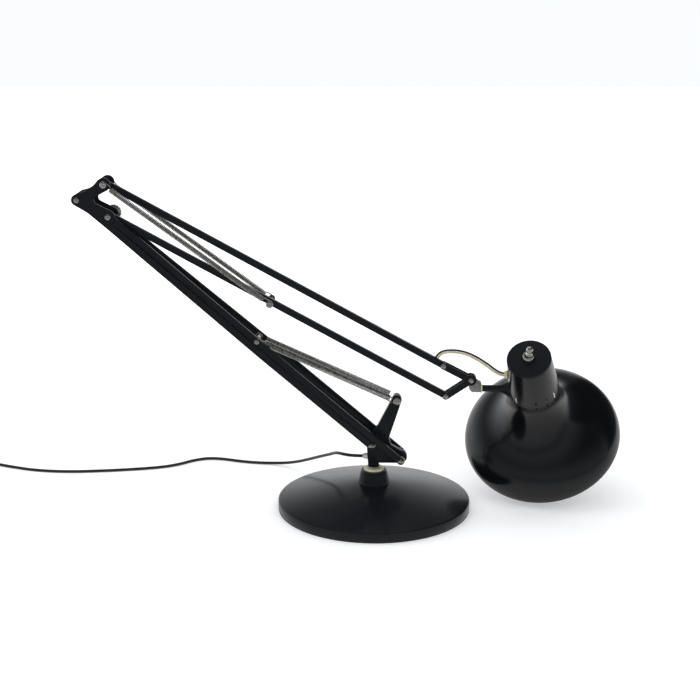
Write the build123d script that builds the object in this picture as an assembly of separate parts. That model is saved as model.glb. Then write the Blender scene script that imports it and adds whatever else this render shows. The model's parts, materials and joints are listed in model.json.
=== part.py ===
"""Spring balanced desk lamp, in millimetres, +Z up.

The origin is the centre of the base's underside. The arms move in the XZ plane, with the elbow
towards -X and the head towards +X. "near" is the -Y side and "far" is the +Y side.
"""

import os
from math import atan2, cos, degrees, hypot, pi, radians, sin

from build123d import *

# ---------------------------------------------------------------- driving sizes
# base and hub
BASE_RADIUS = 110.0
BASE_RIM_HEIGHT = 12.5
BASE_RIM_ROUND = 1.5
BASE_TOP_HEIGHT = 31.0
BASE_SHEET = 2.0
FELT_THICKNESS = 1.6
FELT_MARGIN = 3.5
WEIGHT_MARGIN = 2.0
HUB_FOOT_RADIUS = 17.75
HUB_TOP_RADIUS = 14.75
HUB_TOP_HEIGHT = 46.0
HUB_GROOVE_WIDTH = 0.8
HUB_GROOVE_DEPTH = 0.7
HUB_GROOVE_INSET = 2.4
BUSHING_RADIUS = 11.75
BUSHING_FLANGE = 2.2
BUSHING_SLEEVE_RADIUS = 8.0
SPINDLE_RADIUS = 6.0
SPINDLE_COLLAR_RADIUS = 7.6
SPINDLE_TAIL = 2.0
SPINDLE_NUT_RADIUS = 10.5
SPINDLE_NUT_HEIGHT = 6.0
WEIGHT_BORE_RADIUS = 13.0

# running and seating clearances
FIT = 0.05
OPEN_PIVOT_FIT = 0.35
SIDE_GAP = 0.2
SEAT_GAP = 0.05

# pivots in the arm plane, as (x, z)
LINK_LENGTH = 38.0
LINK_ANGLE = -28.62
LOWER_LENGTH = 424.0
LOWER_ANGLE = 139.37
UPPER_LENGTH = 424.0
UPPER_ANGLE = -28.7
CRANK_LENGTH = 35.54
CRANK_ANGLE = -84.9
B1 = (-2.93, 80.5)
HEAD_PIVOT_OFFSET = (31.2, -16.3)
SPRING_POST = (25.6, 130.0)
LOWER_SPRING_REACH = 212.0
UPPER_SPRING_REACH = 200.0

# pivot pins
PIN_RADIUS = 2.5
HEAD_PIN_RADIUS = 2.2
PIN_HEAD_RADIUS = 3.2
PIN_HEAD_HEIGHT = 2.4
SPACER_RADIUS = 3.7
WASHER_RADIUS = 4.7
WASHER_THICKNESS = 1.2

# bracket
BRACKET_THICKNESS = 8.0
BRACKET_FOOT_HEIGHT = 50.4
BRACKET_STEM_LEFT = -6.6
BRACKET_STEM_RIGHT = 5.7
BRACKET_CHIN_HEIGHT = 55.0
BRACKET_B1_RADIUS = 6.2
BRACKET_B2_RADIUS = 7.2
LEVER_TOP_RADIUS = 5.4
LEVER_LEFT_FROM_B1 = (6.73, 18.3)
LEVER_THROAT_FROM_B1 = (19.73, 4.3)

# lower arm bars
LOWER_BAR_HEIGHT = 7.7
LOWER_BAR_DEPTH = 4.0
LOWER_BAR_FOOT_Y = 17.5
LOWER_BAR_ELBOW_Y = 6.5
LOWER_BAR_BEND_SHARE = 0.38
LOWER_BAR_FLAT_END = 47.0
LOWER_BAR_BEND_ROUND = 60.0

# elbow plates
ELBOW_PLATE_THICKNESS = 2.0
ELBOW_E1_RADIUS = 7.4
ELBOW_E2_RADIUS = 6.2
ELBOW_E3_RADIUS = 7.5
ELBOW_WAIST_HALF = 4.1
ELBOW_WAIST_ROUND = 32.0
ELBOW_NOTCH_ROUND = 4.5

# upper arm bars
UPPER_BAR_HEIGHT = 7.4
UPPER_BAR_DEPTH = 6.0
FLEX_HOLE_RADIUS = 2.9
FLEX_HOLE_DEPTH = 5.0
FLEX_HOLE_BACK = 11.0

# head plates, knuckle and rod
HEAD_PLATE_GAP = 0.3
HEAD_PLATE_THICKNESS = 2.0
HEAD_PLATE_LEG = 7.6
HEAD_PLATE_NOSE = 6.3
HEAD_PLATE_CROTCH = 5.0
ROD_DROP = 10.35
ROD_RADIUS = 3.75
KNUCKLE_BACK = -1.45
KNUCKLE_FRONT = 11.5
KNUCKLE_TOP = 4.6
KNUCKLE_BOTTOM = -14.3
KNUCKLE_THICKNESS = 6.0
ROD_WASHER_RADIUS = 5.2
ROD_WASHER_THICKNESS = 1.3
ROD_SPIGOT_RADIUS = 1.9
ROD_SPIGOT_LENGTH = 8.0
TRUMPET_RADIUS = 14.0
TRUMPET_LENGTH = 16.0

# shade, on its own axis: +z towards the cap, origin where the axis meets the rod's line
SHADE_REACH = 71.21
SHADE_AXIS = (-0.182, -0.628, 0.757)
SHADE_RADIUS = 91.2
SHADE_RIM_DROP = 99.8
DOME_HEIGHT = 49.1
SHADE_WALL = 1.2
NECK_TOP_RADIUS = 24.5
NECK_FOOT_RADIUS = 28.0
NECK_TOP = 56.0
NECK_CONE_FOOT = 6.0
RIM_LIP = 1.6
CAP_THICKNESS = 4.1
CAP_ROUND = 1.2
CAP_SKIRT = 6.0
VENT_COUNT = 14
VENT_WIDTH = 2.0
VENT_LENGTH = 10.0
VENT_HEIGHT = 3.0
VENT_PHASE = 93.0

# switch and lamp
FERRULE_RADIUS = 7.4
FERRULE_HEIGHT = 5.0
FERRULE_BORE = 3.2
TOGGLE_BALL_RADIUS = 3.8
TOGGLE_STEM_RADIUS = 1.7
TOGGLE_REACH = 10.5
TOGGLE_TILT = 14.0
SWITCH_RADIUS = 9.0
SWITCH_LENGTH = 16.0
HOLDER_RADIUS = 17.5
HOLDER_TOP = 24.0
HOLDER_LENGTH = 54.0
HOLDER_BORE_DEPTH = 24.0
HOLDER_WALL = 2.2
HOLDER_FLANGE = 3.0
BULB_CAP_RADIUS = 13.2
BULB_CAP_LENGTH = 24.0
BULB_RADIUS = 22.0
BULB_LENGTH = 76.0
GROMMET_HEIGHT = 32.6
GROMMET_RADIUS = 4.6
GROMMET_BORE = 2.9
GROMMET_PROUD = 3.5
GROMMET_INSIDE = 2.0

# springs
WIRE = 1.3
LOWER_SPRING_RADIUS = 3.2
UPPER_SPRING_RADIUS = 2.7
LOWER_SPRING_Y = 9.3
UPPER_SPRING_Y = 15.0
SPRING_TURNS = 14
HOOK_REACH = 9.0

# friction knob at the elbow
KNOB_RADIUS = 9.0
KNOB_DEPTH = 10.0
KNOB_STANDOFF = 3.0
KNOB_HUB_RADIUS = 4.5
KNOB_WASHER_RADIUS = 3.8
ELBOW_BOLT_HEAD = 3.5

# cords
FLEX_RADIUS = 1.15
FLEX_SPLIT = 1.3
CORD_DIAMETER = 3.6
CORD_BUSH_RADIUS = 3.4
CORD_BUSH_LENGTH = 7.0
CORD_BUSH_HEIGHT = 62.0
COIL_CENTRE = (-510.4, 116.5)
COIL_START = 67.0
COIL_TURNS = 9
COIL_LAYERS = 4
COIL_MID_RADIUS = 21.5
COIL_PITCH = 4.1
COIL_TAIL = 18.0
TIE_WIDTH = 6.0
TIE_THICKNESS = 0.9
PLUG_SLEEVE = 20.0
PLUG_SLEEVE_RADIUS = 2.9
PLUG_BODY_LENGTH = 26.0
PLUG_PIN_RADIUS = 2.4
PLUG_PIN_LENGTH = 19.0
PLUG_PIN_PITCH = 19.0


# ---------------------------------------------------------------- helpers
def reach(point, length, angle):
    """The point at this length and angle (degrees, in the arm plane) from another."""
    return (point[0] + length * cos(radians(angle)), point[1] + length * sin(radians(angle)))


B2 = reach(B1, LINK_LENGTH, LINK_ANGLE)
E2 = reach(B1, LOWER_LENGTH, LOWER_ANGLE)
E3 = reach(B2, LOWER_LENGTH, LOWER_ANGLE)
E1 = reach(E3, CRANK_LENGTH, CRANK_ANGLE + 180)
R1 = reach(E1, UPPER_LENGTH, UPPER_ANGLE)
R3 = reach(E3, UPPER_LENGTH, UPPER_ANGLE)
R2 = (R1[0] + HEAD_PIVOT_OFFSET[0], R1[1] + HEAD_PIVOT_OFFSET[1])
LOWER_SPRING_PIN = reach(B2, LOWER_SPRING_REACH, LOWER_ANGLE)
UPPER_SPRING_PIN = reach(E3, UPPER_SPRING_REACH, UPPER_ANGLE)
ROD_HEIGHT = R2[1] - ROD_DROP
SHADE_ORIGIN_X = R2[0] + SHADE_REACH

NODES = {}


def keep(name, shape):
    """Records a finished piece under its node name."""
    NODES[name] = shape
    return shape


def plate(outline, y_near, y_far):
    """Solid between two planes across the arms, cut from an outline in the arm plane."""
    far_plane = Plane((0, y_far, 0), x_dir=(1, 0, 0), z_dir=(0, -1, 0))
    return extrude(far_plane * outline, amount=y_far - y_near)


def disc(point, radius):
    return Pos(point[0], point[1]) * Circle(radius)


def cross_pin(point, radius, y_near, y_far):
    """Plain cylinder across the arms."""
    return plate(disc(point, radius), y_near, y_far)


def cross_tube(point, outer, inner, y_near, y_far):
    return plate(disc(point, outer) - disc(point, inner), y_near, y_far)


def turned(point, stations):
    """Round piece turned about an axis across the arms, from (y, radius) stations, near to far."""
    frame = Plane((point[0], 0, point[1]), x_dir=(0, 1, 0), z_dir=(1, 0, 0))
    corners = [(stations[0][0], 0), *stations, (stations[-1][0], 0)]
    face = make_face(frame * Polyline(*corners, close=True))
    return revolve(face, axis=Axis((point[0], 0, point[1]), (0, 1, 0)))


def head_stations(y_seat, radius, height, side):
    """Stations of a crowned head on the plane y_seat; side is -1 for a near head, +1 for a far one."""
    crown = [(0, radius), (0.35 * height, radius), (0.8 * height, 0.78 * radius), (height, 0.4 * radius)]
    stations = [(y_seat + side * out, r) for out, r in crown]
    return stations if side > 0 else stations[::-1]


def headed_pin(point, radius, head_radius, half_length, head_height=PIN_HEAD_HEIGHT):
    """Pin through both sides of the arm, with a crowned head at each end."""
    near = head_stations(-half_length, head_radius, head_height, -1)
    far = head_stations(half_length, head_radius, head_height, 1)
    return turned(point, [*near, (-half_length, radius), (half_length, radius), *far])


def web(a, radius_a, b, radius_b):
    """Outline of two lobes and the straight sides that touch them both."""
    return make_hull((disc(a, radius_a) + disc(b, radius_b)).edges())


def slot(a, b, width):
    return web(a, width / 2, b, width / 2)


def unit(v):
    size = v.length
    return Vector(v.X / size, v.Y / size, v.Z / size)


def biarc(start, start_way, end, end_way):
    """Two tangent arcs from one point and direction to another."""
    across = end - start
    ways = start_way + end_way
    spread = 1 - start_way.dot(end_way)
    along = across.dot(ways)
    size = (-along + (along**2 + 2 * spread * across.dot(across)) ** 0.5) / (2 * spread)
    middle = (start + start_way * size + end - end_way * size) * 0.5
    first = TangentArc(start, middle, tangent=start_way)
    second = TangentArc(middle, end, tangent=unit(middle - (start + start_way * size)))
    return [first, second]


def through(stations):
    """Edges along (point, direction) stations: a line where they are in line, else a biarc."""
    edges = []
    for (a, way_a), (b, way_b) in zip(stations, stations[1:]):
        straight = (b - a).cross(way_a).length < 1e-6 and way_a.dot(way_b) > 1 - 1e-9
        edges += [Line(a, b)] if straight else biarc(a, way_a, b, way_b)
    return edges


def swept(edges, width, sides):
    """One unbroken tube of this width along the edges, with a regular polygon as its section."""
    path = Wire([edge.edge() if hasattr(edge, "edge") else edge for edge in edges])
    start = path @ 0
    section = Plane(start, z_dir=path % 0) * RegularPolygon(width / 2, sides)
    return sweep(section, path=path, clean=False)


def least_gap(edges, width, skip):
    """Least gap of a tube to itself, leaving out neighbours within skip of its length."""
    points, travelled = [], []
    total = 0.0
    for edge in edges:
        steps = max(2, int(edge.length / (0.5 * width)))
        for n in range(steps):
            points.append(edge @ (n / steps))
            travelled.append(total + edge.length * n / steps)
        total += edge.length
    best = 1e9
    for i, p in enumerate(points):
        for j in range(i + 1, len(points)):
            if travelled[j] - travelled[i] > skip:
                best = min(best, (p - points[j]).length)
    return best - width


def arc_radii(points):
    """Largest corner radius that both runs beside each corner of a route allow."""
    radii = []
    for a, b, c in zip(points, points[1:], points[2:]):
        before, after = Vector(*b) - Vector(*a), Vector(*c) - Vector(*b)
        half_turn = radians(before.get_angle(after)) / 2
        radii.append(0.45 * min(before.length, after.length) / (sin(half_turn) / cos(half_turn)))
    return radii


def cord_tube(points, diameter):
    """Tube along straight runs joined by tangent arcs."""
    radii = arc_radii(points)
    path = FilletPolyline(*points, radius=radii)
    section = Plane(path @ 0, z_dir=path % 0) * Circle(diameter / 2)
    tube = sweep(section, path=path)
    share = tube.volume / (pi * diameter**2 / 4 * path.length)
    print("cord length", round(path.length, 1), "least radius", round(min(radii), 1))
    print("  radii", [round(r) for r in radii], "volume share", round(share, 4))
    return tube


# ---------------------------------------------------------------- base
def cover_profile(offset):
    """Outline of the base's cover in the (radius, height) plane, drawn in by an offset."""
    rim = BASE_RADIUS - offset
    shoulder = BASE_RIM_HEIGHT - offset
    top = BASE_TOP_HEIGHT - offset
    bottom = SEAT_GAP + (0 if offset == 0 else -1)
    round_ = BASE_RIM_ROUND
    outline = Polyline((0, bottom), (rim, bottom), (rim, shoulder - round_))
    corner = ThreePointArc(
        (rim, shoulder - round_),
        (rim - round_ * (1 - sin(pi / 4)), shoulder - round_ * (1 - cos(pi / 4))),
        (rim - round_, shoulder),
    )
    slope = Polyline((rim - round_, shoulder), (HUB_FOOT_RADIUS - 1, top), (0, top), (0, bottom))
    return make_face(Plane.XZ * (outline + corner + slope))


def make_base():
    outer = revolve(cover_profile(0), axis=Axis.Z)
    inner = revolve(cover_profile(BASE_SHEET), axis=Axis.Z)
    bore = extrude(Circle(BUSHING_SLEEVE_RADIUS), amount=BASE_TOP_HEIGHT + 1)
    keep("base_cover", outer - inner - bore)

    felt_radius = BASE_RADIUS - FELT_MARGIN
    keep("base_felt", extrude(Circle(felt_radius), amount=FELT_THICKNESS))

    weight_radius = BASE_RADIUS - BASE_SHEET - WEIGHT_MARGIN
    weight_rim = BASE_RIM_HEIGHT - BASE_SHEET - BASE_RIM_ROUND
    weight_top = BASE_TOP_HEIGHT - BASE_SHEET - SEAT_GAP
    low = FELT_THICKNESS
    weight_outline = Polyline(
        (WEIGHT_BORE_RADIUS, low),
        (weight_radius, low),
        (weight_radius, weight_rim - 1),
        (HUB_FOOT_RADIUS, weight_top - 1),
        (WEIGHT_BORE_RADIUS, weight_top - 1),
        close=True,
    )
    keep("base_weight", revolve(make_face(Plane.XZ * weight_outline), axis=Axis.Z))


def make_hub():
    seat = BASE_TOP_HEIGHT
    outline = make_face(
        Plane.XZ
        * Polyline(
            (BUSHING_SLEEVE_RADIUS, seat),
            (HUB_FOOT_RADIUS, seat),
            (HUB_TOP_RADIUS, HUB_TOP_HEIGHT),
            (BUSHING_SLEEVE_RADIUS, HUB_TOP_HEIGHT),
            close=True,
        )
    )
    hub = revolve(outline, axis=Axis.Z)
    for height in (seat + HUB_GROOVE_INSET, HUB_TOP_HEIGHT - HUB_GROOVE_WIDTH - 0.4):
        share = (height - seat) / (HUB_TOP_HEIGHT - seat)
        wall = HUB_FOOT_RADIUS + share * (HUB_TOP_RADIUS - HUB_FOOT_RADIUS)
        ring = Circle(wall + 1) - Circle(wall - HUB_GROOVE_DEPTH)
        hub -= Pos(0, 0, height) * extrude(ring, amount=HUB_GROOVE_WIDTH)
    keep("hub", hub)

    sleeve_inner = SPINDLE_RADIUS + FIT
    sleeve_foot = BASE_TOP_HEIGHT - BASE_SHEET
    sleeve = Pos(0, 0, sleeve_foot) * extrude(
        Circle(BUSHING_SLEEVE_RADIUS - SEAT_GAP) - Circle(sleeve_inner), amount=HUB_TOP_HEIGHT - sleeve_foot
    )
    flange = Pos(0, 0, HUB_TOP_HEIGHT) * extrude(
        Circle(BUSHING_RADIUS) - Circle(sleeve_inner), amount=BUSHING_FLANGE
    )
    keep("hub_bushing", sleeve + flange)


# ---------------------------------------------------------------- swivel
def make_swivel():
    half = BRACKET_THICKNESS / 2
    flange_top = HUB_TOP_HEIGHT + BUSHING_FLANGE
    nut_top = BASE_TOP_HEIGHT - BASE_SHEET - SIDE_GAP
    nut_foot = nut_top - SPINDLE_NUT_HEIGHT
    shaft_foot = nut_foot - SPINDLE_TAIL
    shaft = Pos(0, 0, shaft_foot) * extrude(Circle(SPINDLE_RADIUS), amount=BRACKET_FOOT_HEIGHT - shaft_foot)
    collar = Pos(0, 0, flange_top + SIDE_GAP) * extrude(
        Circle(SPINDLE_COLLAR_RADIUS), amount=BRACKET_FOOT_HEIGHT - flange_top - SIDE_GAP
    )
    keep("swivel_spindle", shaft + collar)
    nut = RegularPolygon(SPINDLE_NUT_RADIUS, 6) - Circle(SPINDLE_RADIUS + SEAT_GAP)
    keep("spindle_nut", Pos(0, 0, nut_foot) * extrude(nut, amount=SPINDLE_NUT_HEIGHT))

    lever_left = (B1[0] + LEVER_LEFT_FROM_B1[0], B1[1] + LEVER_LEFT_FROM_B1[1])
    throat = (B1[0] + LEVER_THROAT_FROM_B1[0], B1[1] + LEVER_THROAT_FROM_B1[1])
    stem = make_face(
        Polyline(
            (BRACKET_STEM_LEFT, BRACKET_FOOT_HEIGHT),
            (BRACKET_STEM_RIGHT, BRACKET_FOOT_HEIGHT),
            (BRACKET_STEM_RIGHT, BRACKET_CHIN_HEIGHT),
            (B2[0], B2[1] - BRACKET_B2_RADIUS),
            (B2[0] + 1.0, B2[1] + BRACKET_B2_RADIUS - 0.4),
            (throat[0] + 2.8, throat[1] - 9.0),
            throat,
            (SPRING_POST[0] + 4.9, SPRING_POST[1] - 2.4),
            (SPRING_POST[0] - 4.8, SPRING_POST[1] + 2.4),
            lever_left,
            (B1[0] - 5.4, B1[1] + 3.2),
            (B1[0] - BRACKET_B1_RADIUS + 1.0, B1[1] - 6.0),
            close=True,
        )
    )
    outline = stem + disc(B1, BRACKET_B1_RADIUS) + disc(B2, BRACKET_B2_RADIUS)
    outline += disc(SPRING_POST, LEVER_TOP_RADIUS)
    bracket = plate(outline, -half, half)
    for point in (B1, B2, SPRING_POST):
        bracket -= cross_pin(point, PIN_RADIUS + SEAT_GAP, -half - 1, half + 1)
    keep("bracket", bracket)

    bush_axis = Plane((BRACKET_STEM_LEFT + 0.6, 0, CORD_BUSH_HEIGHT), x_dir=(0, 1, 0), z_dir=(-1, 0, 0))
    bush = bush_axis * extrude(Circle(CORD_BUSH_RADIUS), amount=CORD_BUSH_LENGTH - 2)
    bush += bush_axis * Pos(0, 0, CORD_BUSH_LENGTH - 2) * extrude(
        Circle(CORD_BUSH_RADIUS - 0.6), amount=2, taper=12
    )
    bush -= bracket
    keep("cable_bush", bush)


def make_lower_pins():
    """Pins of the bracket, with the spacers and washers that hold the bars apart."""
    bracket_half = BRACKET_THICKNESS / 2
    bar_outer = LOWER_BAR_FOOT_Y + LOWER_BAR_DEPTH
    half_length = bar_outer + SIDE_GAP
    keep("front_bar_pin", headed_pin(B1, PIN_RADIUS, PIN_HEAD_RADIUS, half_length))
    keep("rear_bar_pin", headed_pin(B2, PIN_RADIUS, PIN_HEAD_RADIUS, half_length))

    washer_outer = LOWER_BAR_FOOT_Y - SIDE_GAP
    washer_inner = washer_outer - WASHER_THICKNESS
    spacers, washers = [], []
    for point in (B1, B2):
        for side in (-1, 1):
            near, far = sorted((side * (bracket_half + SEAT_GAP), side * (washer_inner - SEAT_GAP)))
            spacers.append(cross_tube(point, SPACER_RADIUS, PIN_RADIUS + SEAT_GAP, near, far))
            near, far = sorted((side * washer_inner, side * washer_outer))
            washers.append(cross_tube(point, WASHER_RADIUS, PIN_RADIUS + SEAT_GAP, near, far))
    keep("bracket_spacers", Compound(children=spacers))
    keep("bracket_washers", Compound(children=washers))

    post_half = LOWER_SPRING_Y + WIRE / 2 + SIDE_GAP
    keep("lower_spring_post", headed_pin(SPRING_POST, PIN_RADIUS, 4.4, post_half, 1.6))


# ---------------------------------------------------------------- lower arm
def bar_plane(start, end):
    """Plane through a bar: x along it from start, y across the arms, z square to both."""
    way = Vector(end[0] - start[0], 0, end[1] - start[1])
    return Plane((start[0], 0, start[1]), x_dir=way, z_dir=(-way.Z, 0, way.X))


def lower_bar(start, end, side, bores):
    """Flat bar that runs parallel at its foot and draws in towards the elbow."""
    length = hypot(end[0] - start[0], end[1] - start[1])
    half = LOWER_BAR_HEIGHT / 2
    bend = LOWER_BAR_BEND_SHARE * length
    foot, elbow, depth = LOWER_BAR_FOOT_Y, LOWER_BAR_ELBOW_Y, LOWER_BAR_DEPTH
    flat = length - LOWER_BAR_FLAT_END
    corners = [
        (-half, foot),
        (bend, foot),
        (flat, elbow),
        (length + half, elbow),
        (length + half, elbow + depth),
        (flat, elbow + depth),
        (bend, foot + depth),
        (-half, foot + depth),
    ]
    plan = make_face(Polyline(*[(x, side * y) for x, y in corners], close=True))
    bends = [v for v in plan.vertices() if abs(v.X - bend) < 0.1]
    plan = fillet(bends, LOWER_BAR_BEND_ROUND)
    body = bar_plane(start, end) * (Pos(0, 0, -half) * extrude(plan, amount=LOWER_BAR_HEIGHT))
    widest = foot + depth + 1
    bar = body & plate(slot(start, end, LOWER_BAR_HEIGHT), -widest, widest)
    for point, radius in bores:
        bar -= cross_pin(point, radius, -widest, widest)
    return bar


def lower_bar_inner(share):
    """Inner face of the lower arm's bars at a share of their length, from the arm plane."""
    flat_share = 1 - LOWER_BAR_FLAT_END / LOWER_LENGTH
    drawn = (share - LOWER_BAR_BEND_SHARE) / (flat_share - LOWER_BAR_BEND_SHARE)
    return LOWER_BAR_FOOT_Y + max(0, drawn) * (LOWER_BAR_ELBOW_Y - LOWER_BAR_FOOT_Y)


def make_lower_arm():
    for name, side in (("near", -1), ("far", 1)):
        front = lower_bar(B1, E2, side, [(B1, PIN_RADIUS + FIT), (E2, PIN_RADIUS + OPEN_PIVOT_FIT)])
        keep("front_bar_" + name, front)
        bores = [
            (B2, PIN_RADIUS + FIT),
            (E3, PIN_RADIUS + FIT),
            (LOWER_SPRING_PIN, PIN_RADIUS + SEAT_GAP),
        ]
        keep("rear_bar_" + name, lower_bar(B2, E3, side, bores))
    outer = lower_bar_inner(LOWER_SPRING_REACH / LOWER_LENGTH) + LOWER_BAR_DEPTH + SIDE_GAP
    keep("lower_spring_pin", headed_pin(LOWER_SPRING_PIN, PIN_RADIUS, 3.0, outer, 1.6))


# ---------------------------------------------------------------- elbow
def make_elbow():
    inner = LOWER_BAR_ELBOW_Y + LOWER_BAR_DEPTH + SIDE_GAP
    outer = inner + ELBOW_PLATE_THICKNESS
    upper_web = web(E1, ELBOW_E1_RADIUS, E2, ELBOW_E2_RADIUS)
    lower_web = web(E2, ELBOW_E2_RADIUS, E3, ELBOW_E3_RADIUS)
    middle = ((E1[0] + E2[0]) / 2, (E1[1] + E2[1]) / 2)
    square = degrees(atan2(E1[1] - E2[1], E1[0] - E2[0])) + 90
    waist = disc(reach(middle, ELBOW_WAIST_HALF + ELBOW_WAIST_ROUND, square), ELBOW_WAIST_ROUND)
    outline = upper_web + lower_web
    lobes = ((E1, ELBOW_E1_RADIUS), (E2, ELBOW_E2_RADIUS), (E3, ELBOW_E3_RADIUS))
    notch = max(
        outline.vertices(), key=lambda v: min(hypot(v.X - x, v.Y - z) - radius for (x, z), radius in lobes)
    )
    outline = fillet([notch], ELBOW_NOTCH_ROUND)
    outline -= waist
    for name, side in (("near", -1), ("far", 1)):
        near, far = sorted((side * inner, side * outer))
        body = plate(outline, near, far)
        for point in (E1, E2, E3):
            body -= cross_pin(point, PIN_RADIUS + SEAT_GAP, -outer - 1, outer + 1)
        keep("elbow_plate_" + name, body)

    bar_half = UPPER_BAR_DEPTH / 2
    between_bars = LOWER_BAR_ELBOW_Y - SIDE_GAP
    spacers = [cross_tube(E2, SPACER_RADIUS, PIN_RADIUS + SEAT_GAP, -between_bars, between_bars)]
    for point, end in ((E1, inner - SEAT_GAP), (E3, between_bars)):
        for side in (-1, 1):
            near, far = sorted((side * (bar_half + SIDE_GAP), side * end))
            spacers.append(cross_tube(point, SPACER_RADIUS, PIN_RADIUS + SEAT_GAP, near, far))
    keep("elbow_spacers", Compound(children=spacers))

    hook_half = UPPER_SPRING_Y + WIRE / 2 + SIDE_GAP
    rivet_seat = outer + SEAT_GAP
    keep("upper_bar_pin", headed_pin(E1, PIN_RADIUS, 3.75, hook_half, 2.0))
    keep("front_elbow_pin", headed_pin(E2, PIN_RADIUS, PIN_HEAD_RADIUS, rivet_seat))

    knob_seat = rivet_seat + KNOB_STANDOFF
    bolt_end = knob_seat + KNOB_DEPTH - 3
    near_head = head_stations(-rivet_seat, ELBOW_BOLT_HEAD, PIN_HEAD_HEIGHT, -1)
    shank = [(-rivet_seat, PIN_RADIUS), (bolt_end, PIN_RADIUS)]
    keep("elbow_bolt", turned(E3, near_head + shank))
    keep("knob_washer", cross_tube(E3, KNOB_WASHER_RADIUS, PIN_RADIUS + FIT, rivet_seat, knob_seat - SIDE_GAP))
    make_knob(knob_seat, bolt_end)


def make_knob(seat, bolt_end):
    """Friction knob on the far end of the elbow's bolt."""
    back = seat + KNOB_DEPTH
    stations = [
        (seat, KNOB_HUB_RADIUS),
        (seat + 2, KNOB_HUB_RADIUS),
        (seat + 3, KNOB_RADIUS),
        (back - 3, KNOB_RADIUS),
        (back - 1.2, 0.78 * KNOB_RADIUS),
        (back, 0.4 * KNOB_RADIUS),
    ]
    knob = turned(E3, stations)
    knob -= cross_pin(E3, PIN_RADIUS + FIT, seat - 1, bolt_end + SIDE_GAP)
    keep("elbow_knob", knob)


# ---------------------------------------------------------------- upper arm
def make_upper_arm():
    half = UPPER_BAR_DEPTH / 2
    top = plate(slot(E1, R1, UPPER_BAR_HEIGHT), -half, half)
    top -= cross_pin(E1, PIN_RADIUS + FIT, -half - 1, half + 1)
    top -= cross_pin(R1, HEAD_PIN_RADIUS + FIT, -half - 1, half + 1)
    exit_frame = bar_plane(R1, E1)
    hole = exit_frame * Pos(FLEX_HOLE_BACK, 0, -UPPER_BAR_HEIGHT / 2) * Cylinder(
        FLEX_HOLE_RADIUS, 2 * FLEX_HOLE_DEPTH
    )
    keep("top_bar", top - hole)

    bottom = plate(slot(E3, R3, UPPER_BAR_HEIGHT), -half, half)
    bottom -= cross_pin(E3, PIN_RADIUS + FIT, -half - 1, half + 1)
    bottom -= cross_pin(R3, HEAD_PIN_RADIUS + OPEN_PIVOT_FIT, -half - 1, half + 1)
    bottom -= cross_pin(UPPER_SPRING_PIN, PIN_RADIUS + SEAT_GAP, -half - 1, half + 1)
    keep("bottom_bar", bottom)
    post_half = UPPER_SPRING_Y + WIRE / 2 + SIDE_GAP
    pin = headed_pin(UPPER_SPRING_PIN, PIN_RADIUS, 4.0, post_half, 2.0)
    for side in (-1, 1):
        near, far = sorted((side * (half + SEAT_GAP), side * (UPPER_SPRING_Y - WIRE / 2 - SIDE_GAP)))
        pin += cross_pin(UPPER_SPRING_PIN, SPACER_RADIUS, near, far)
    keep("upper_spring_pin", pin)


# ---------------------------------------------------------------- head plates, knuckle
def make_head_plates():
    inner = UPPER_BAR_DEPTH / 2 + HEAD_PLATE_GAP
    outer = inner + HEAD_PLATE_THICKNESS
    width = HEAD_PLATE_LEG
    upper_leg = web(R1, width / 2, R2, width / 2)
    lower_leg = web(R3, width / 2, R2, width / 2)
    outline = upper_leg + lower_leg + disc(R2, HEAD_PLATE_NOSE)
    for name, side in (("near", -1), ("far", 1)):
        near, far = sorted((side * inner, side * outer))
        body = plate(outline, near, far)
        for point in (R1, R2, R3):
            body -= cross_pin(point, HEAD_PIN_RADIUS + SEAT_GAP, -outer - 1, outer + 1)
        keep("head_plate_" + name, body)
    for name, point in (("top_bar_end_pin", R1), ("head_pivot_pin", R2), ("bottom_bar_end_pin", R3)):
        keep(name, headed_pin(point, HEAD_PIN_RADIUS, 3.1, outer + SEAT_GAP, 2.0))


def make_knuckle():
    half = KNUCKLE_THICKNESS / 2
    left, right = R2[0] + KNUCKLE_BACK, R2[0] + KNUCKLE_FRONT
    bottom = R2[1] + KNUCKLE_BOTTOM
    outline = make_face(
        Polyline(
            (left, bottom + 3),
            (left + 3, bottom),
            (right, bottom),
            (right, R2[1] - 3.0),
            (R2[0] + KNUCKLE_TOP, R2[1] + 1.2),
            (R2[0], R2[1] + KNUCKLE_TOP - 0.6),
            (R2[0] - KNUCKLE_TOP + 0.8, R2[1]),
            close=True,
        )
    )
    outline += disc(R2, KNUCKLE_TOP)
    body = plate(outline, -half, half)
    body -= cross_pin(R2, HEAD_PIN_RADIUS + FIT, -half - 1, half + 1)
    rod_plane = Plane((right, 0, ROD_HEIGHT), x_dir=(0, 1, 0), z_dir=(-1, 0, 0))
    body -= rod_plane * extrude(Circle(ROD_SPIGOT_RADIUS + FIT), amount=ROD_SPIGOT_LENGTH + 0.5)
    keep("knuckle", body)
    washer_plane = Plane((right, 0, ROD_HEIGHT), x_dir=(0, 1, 0), z_dir=(1, 0, 0))
    washer = extrude(Circle(ROD_WASHER_RADIUS) - Circle(ROD_SPIGOT_RADIUS + FIT), amount=ROD_WASHER_THICKNESS)
    keep("knuckle_washer", washer_plane * washer)


# ---------------------------------------------------------------- head
def shade_frame():
    """Frame of the shade: z along its axis towards the cap, x towards the arm."""
    axis = unit(Vector(*SHADE_AXIS))
    towards_arm = Vector(-1, 0, 0)
    side = towards_arm - axis * towards_arm.dot(axis)
    return Plane((SHADE_ORIGIN_X, 0, ROD_HEIGHT), x_dir=side, z_dir=axis)


def dome_point(turn, radius, height):
    """Point (radius, z) of the dome's quarter ellipse, from 0 at the rim to 90 at the crown."""
    t = radians(turn)
    return (radius * cos(t), -SHADE_RIM_DROP + height * sin(t))


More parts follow.
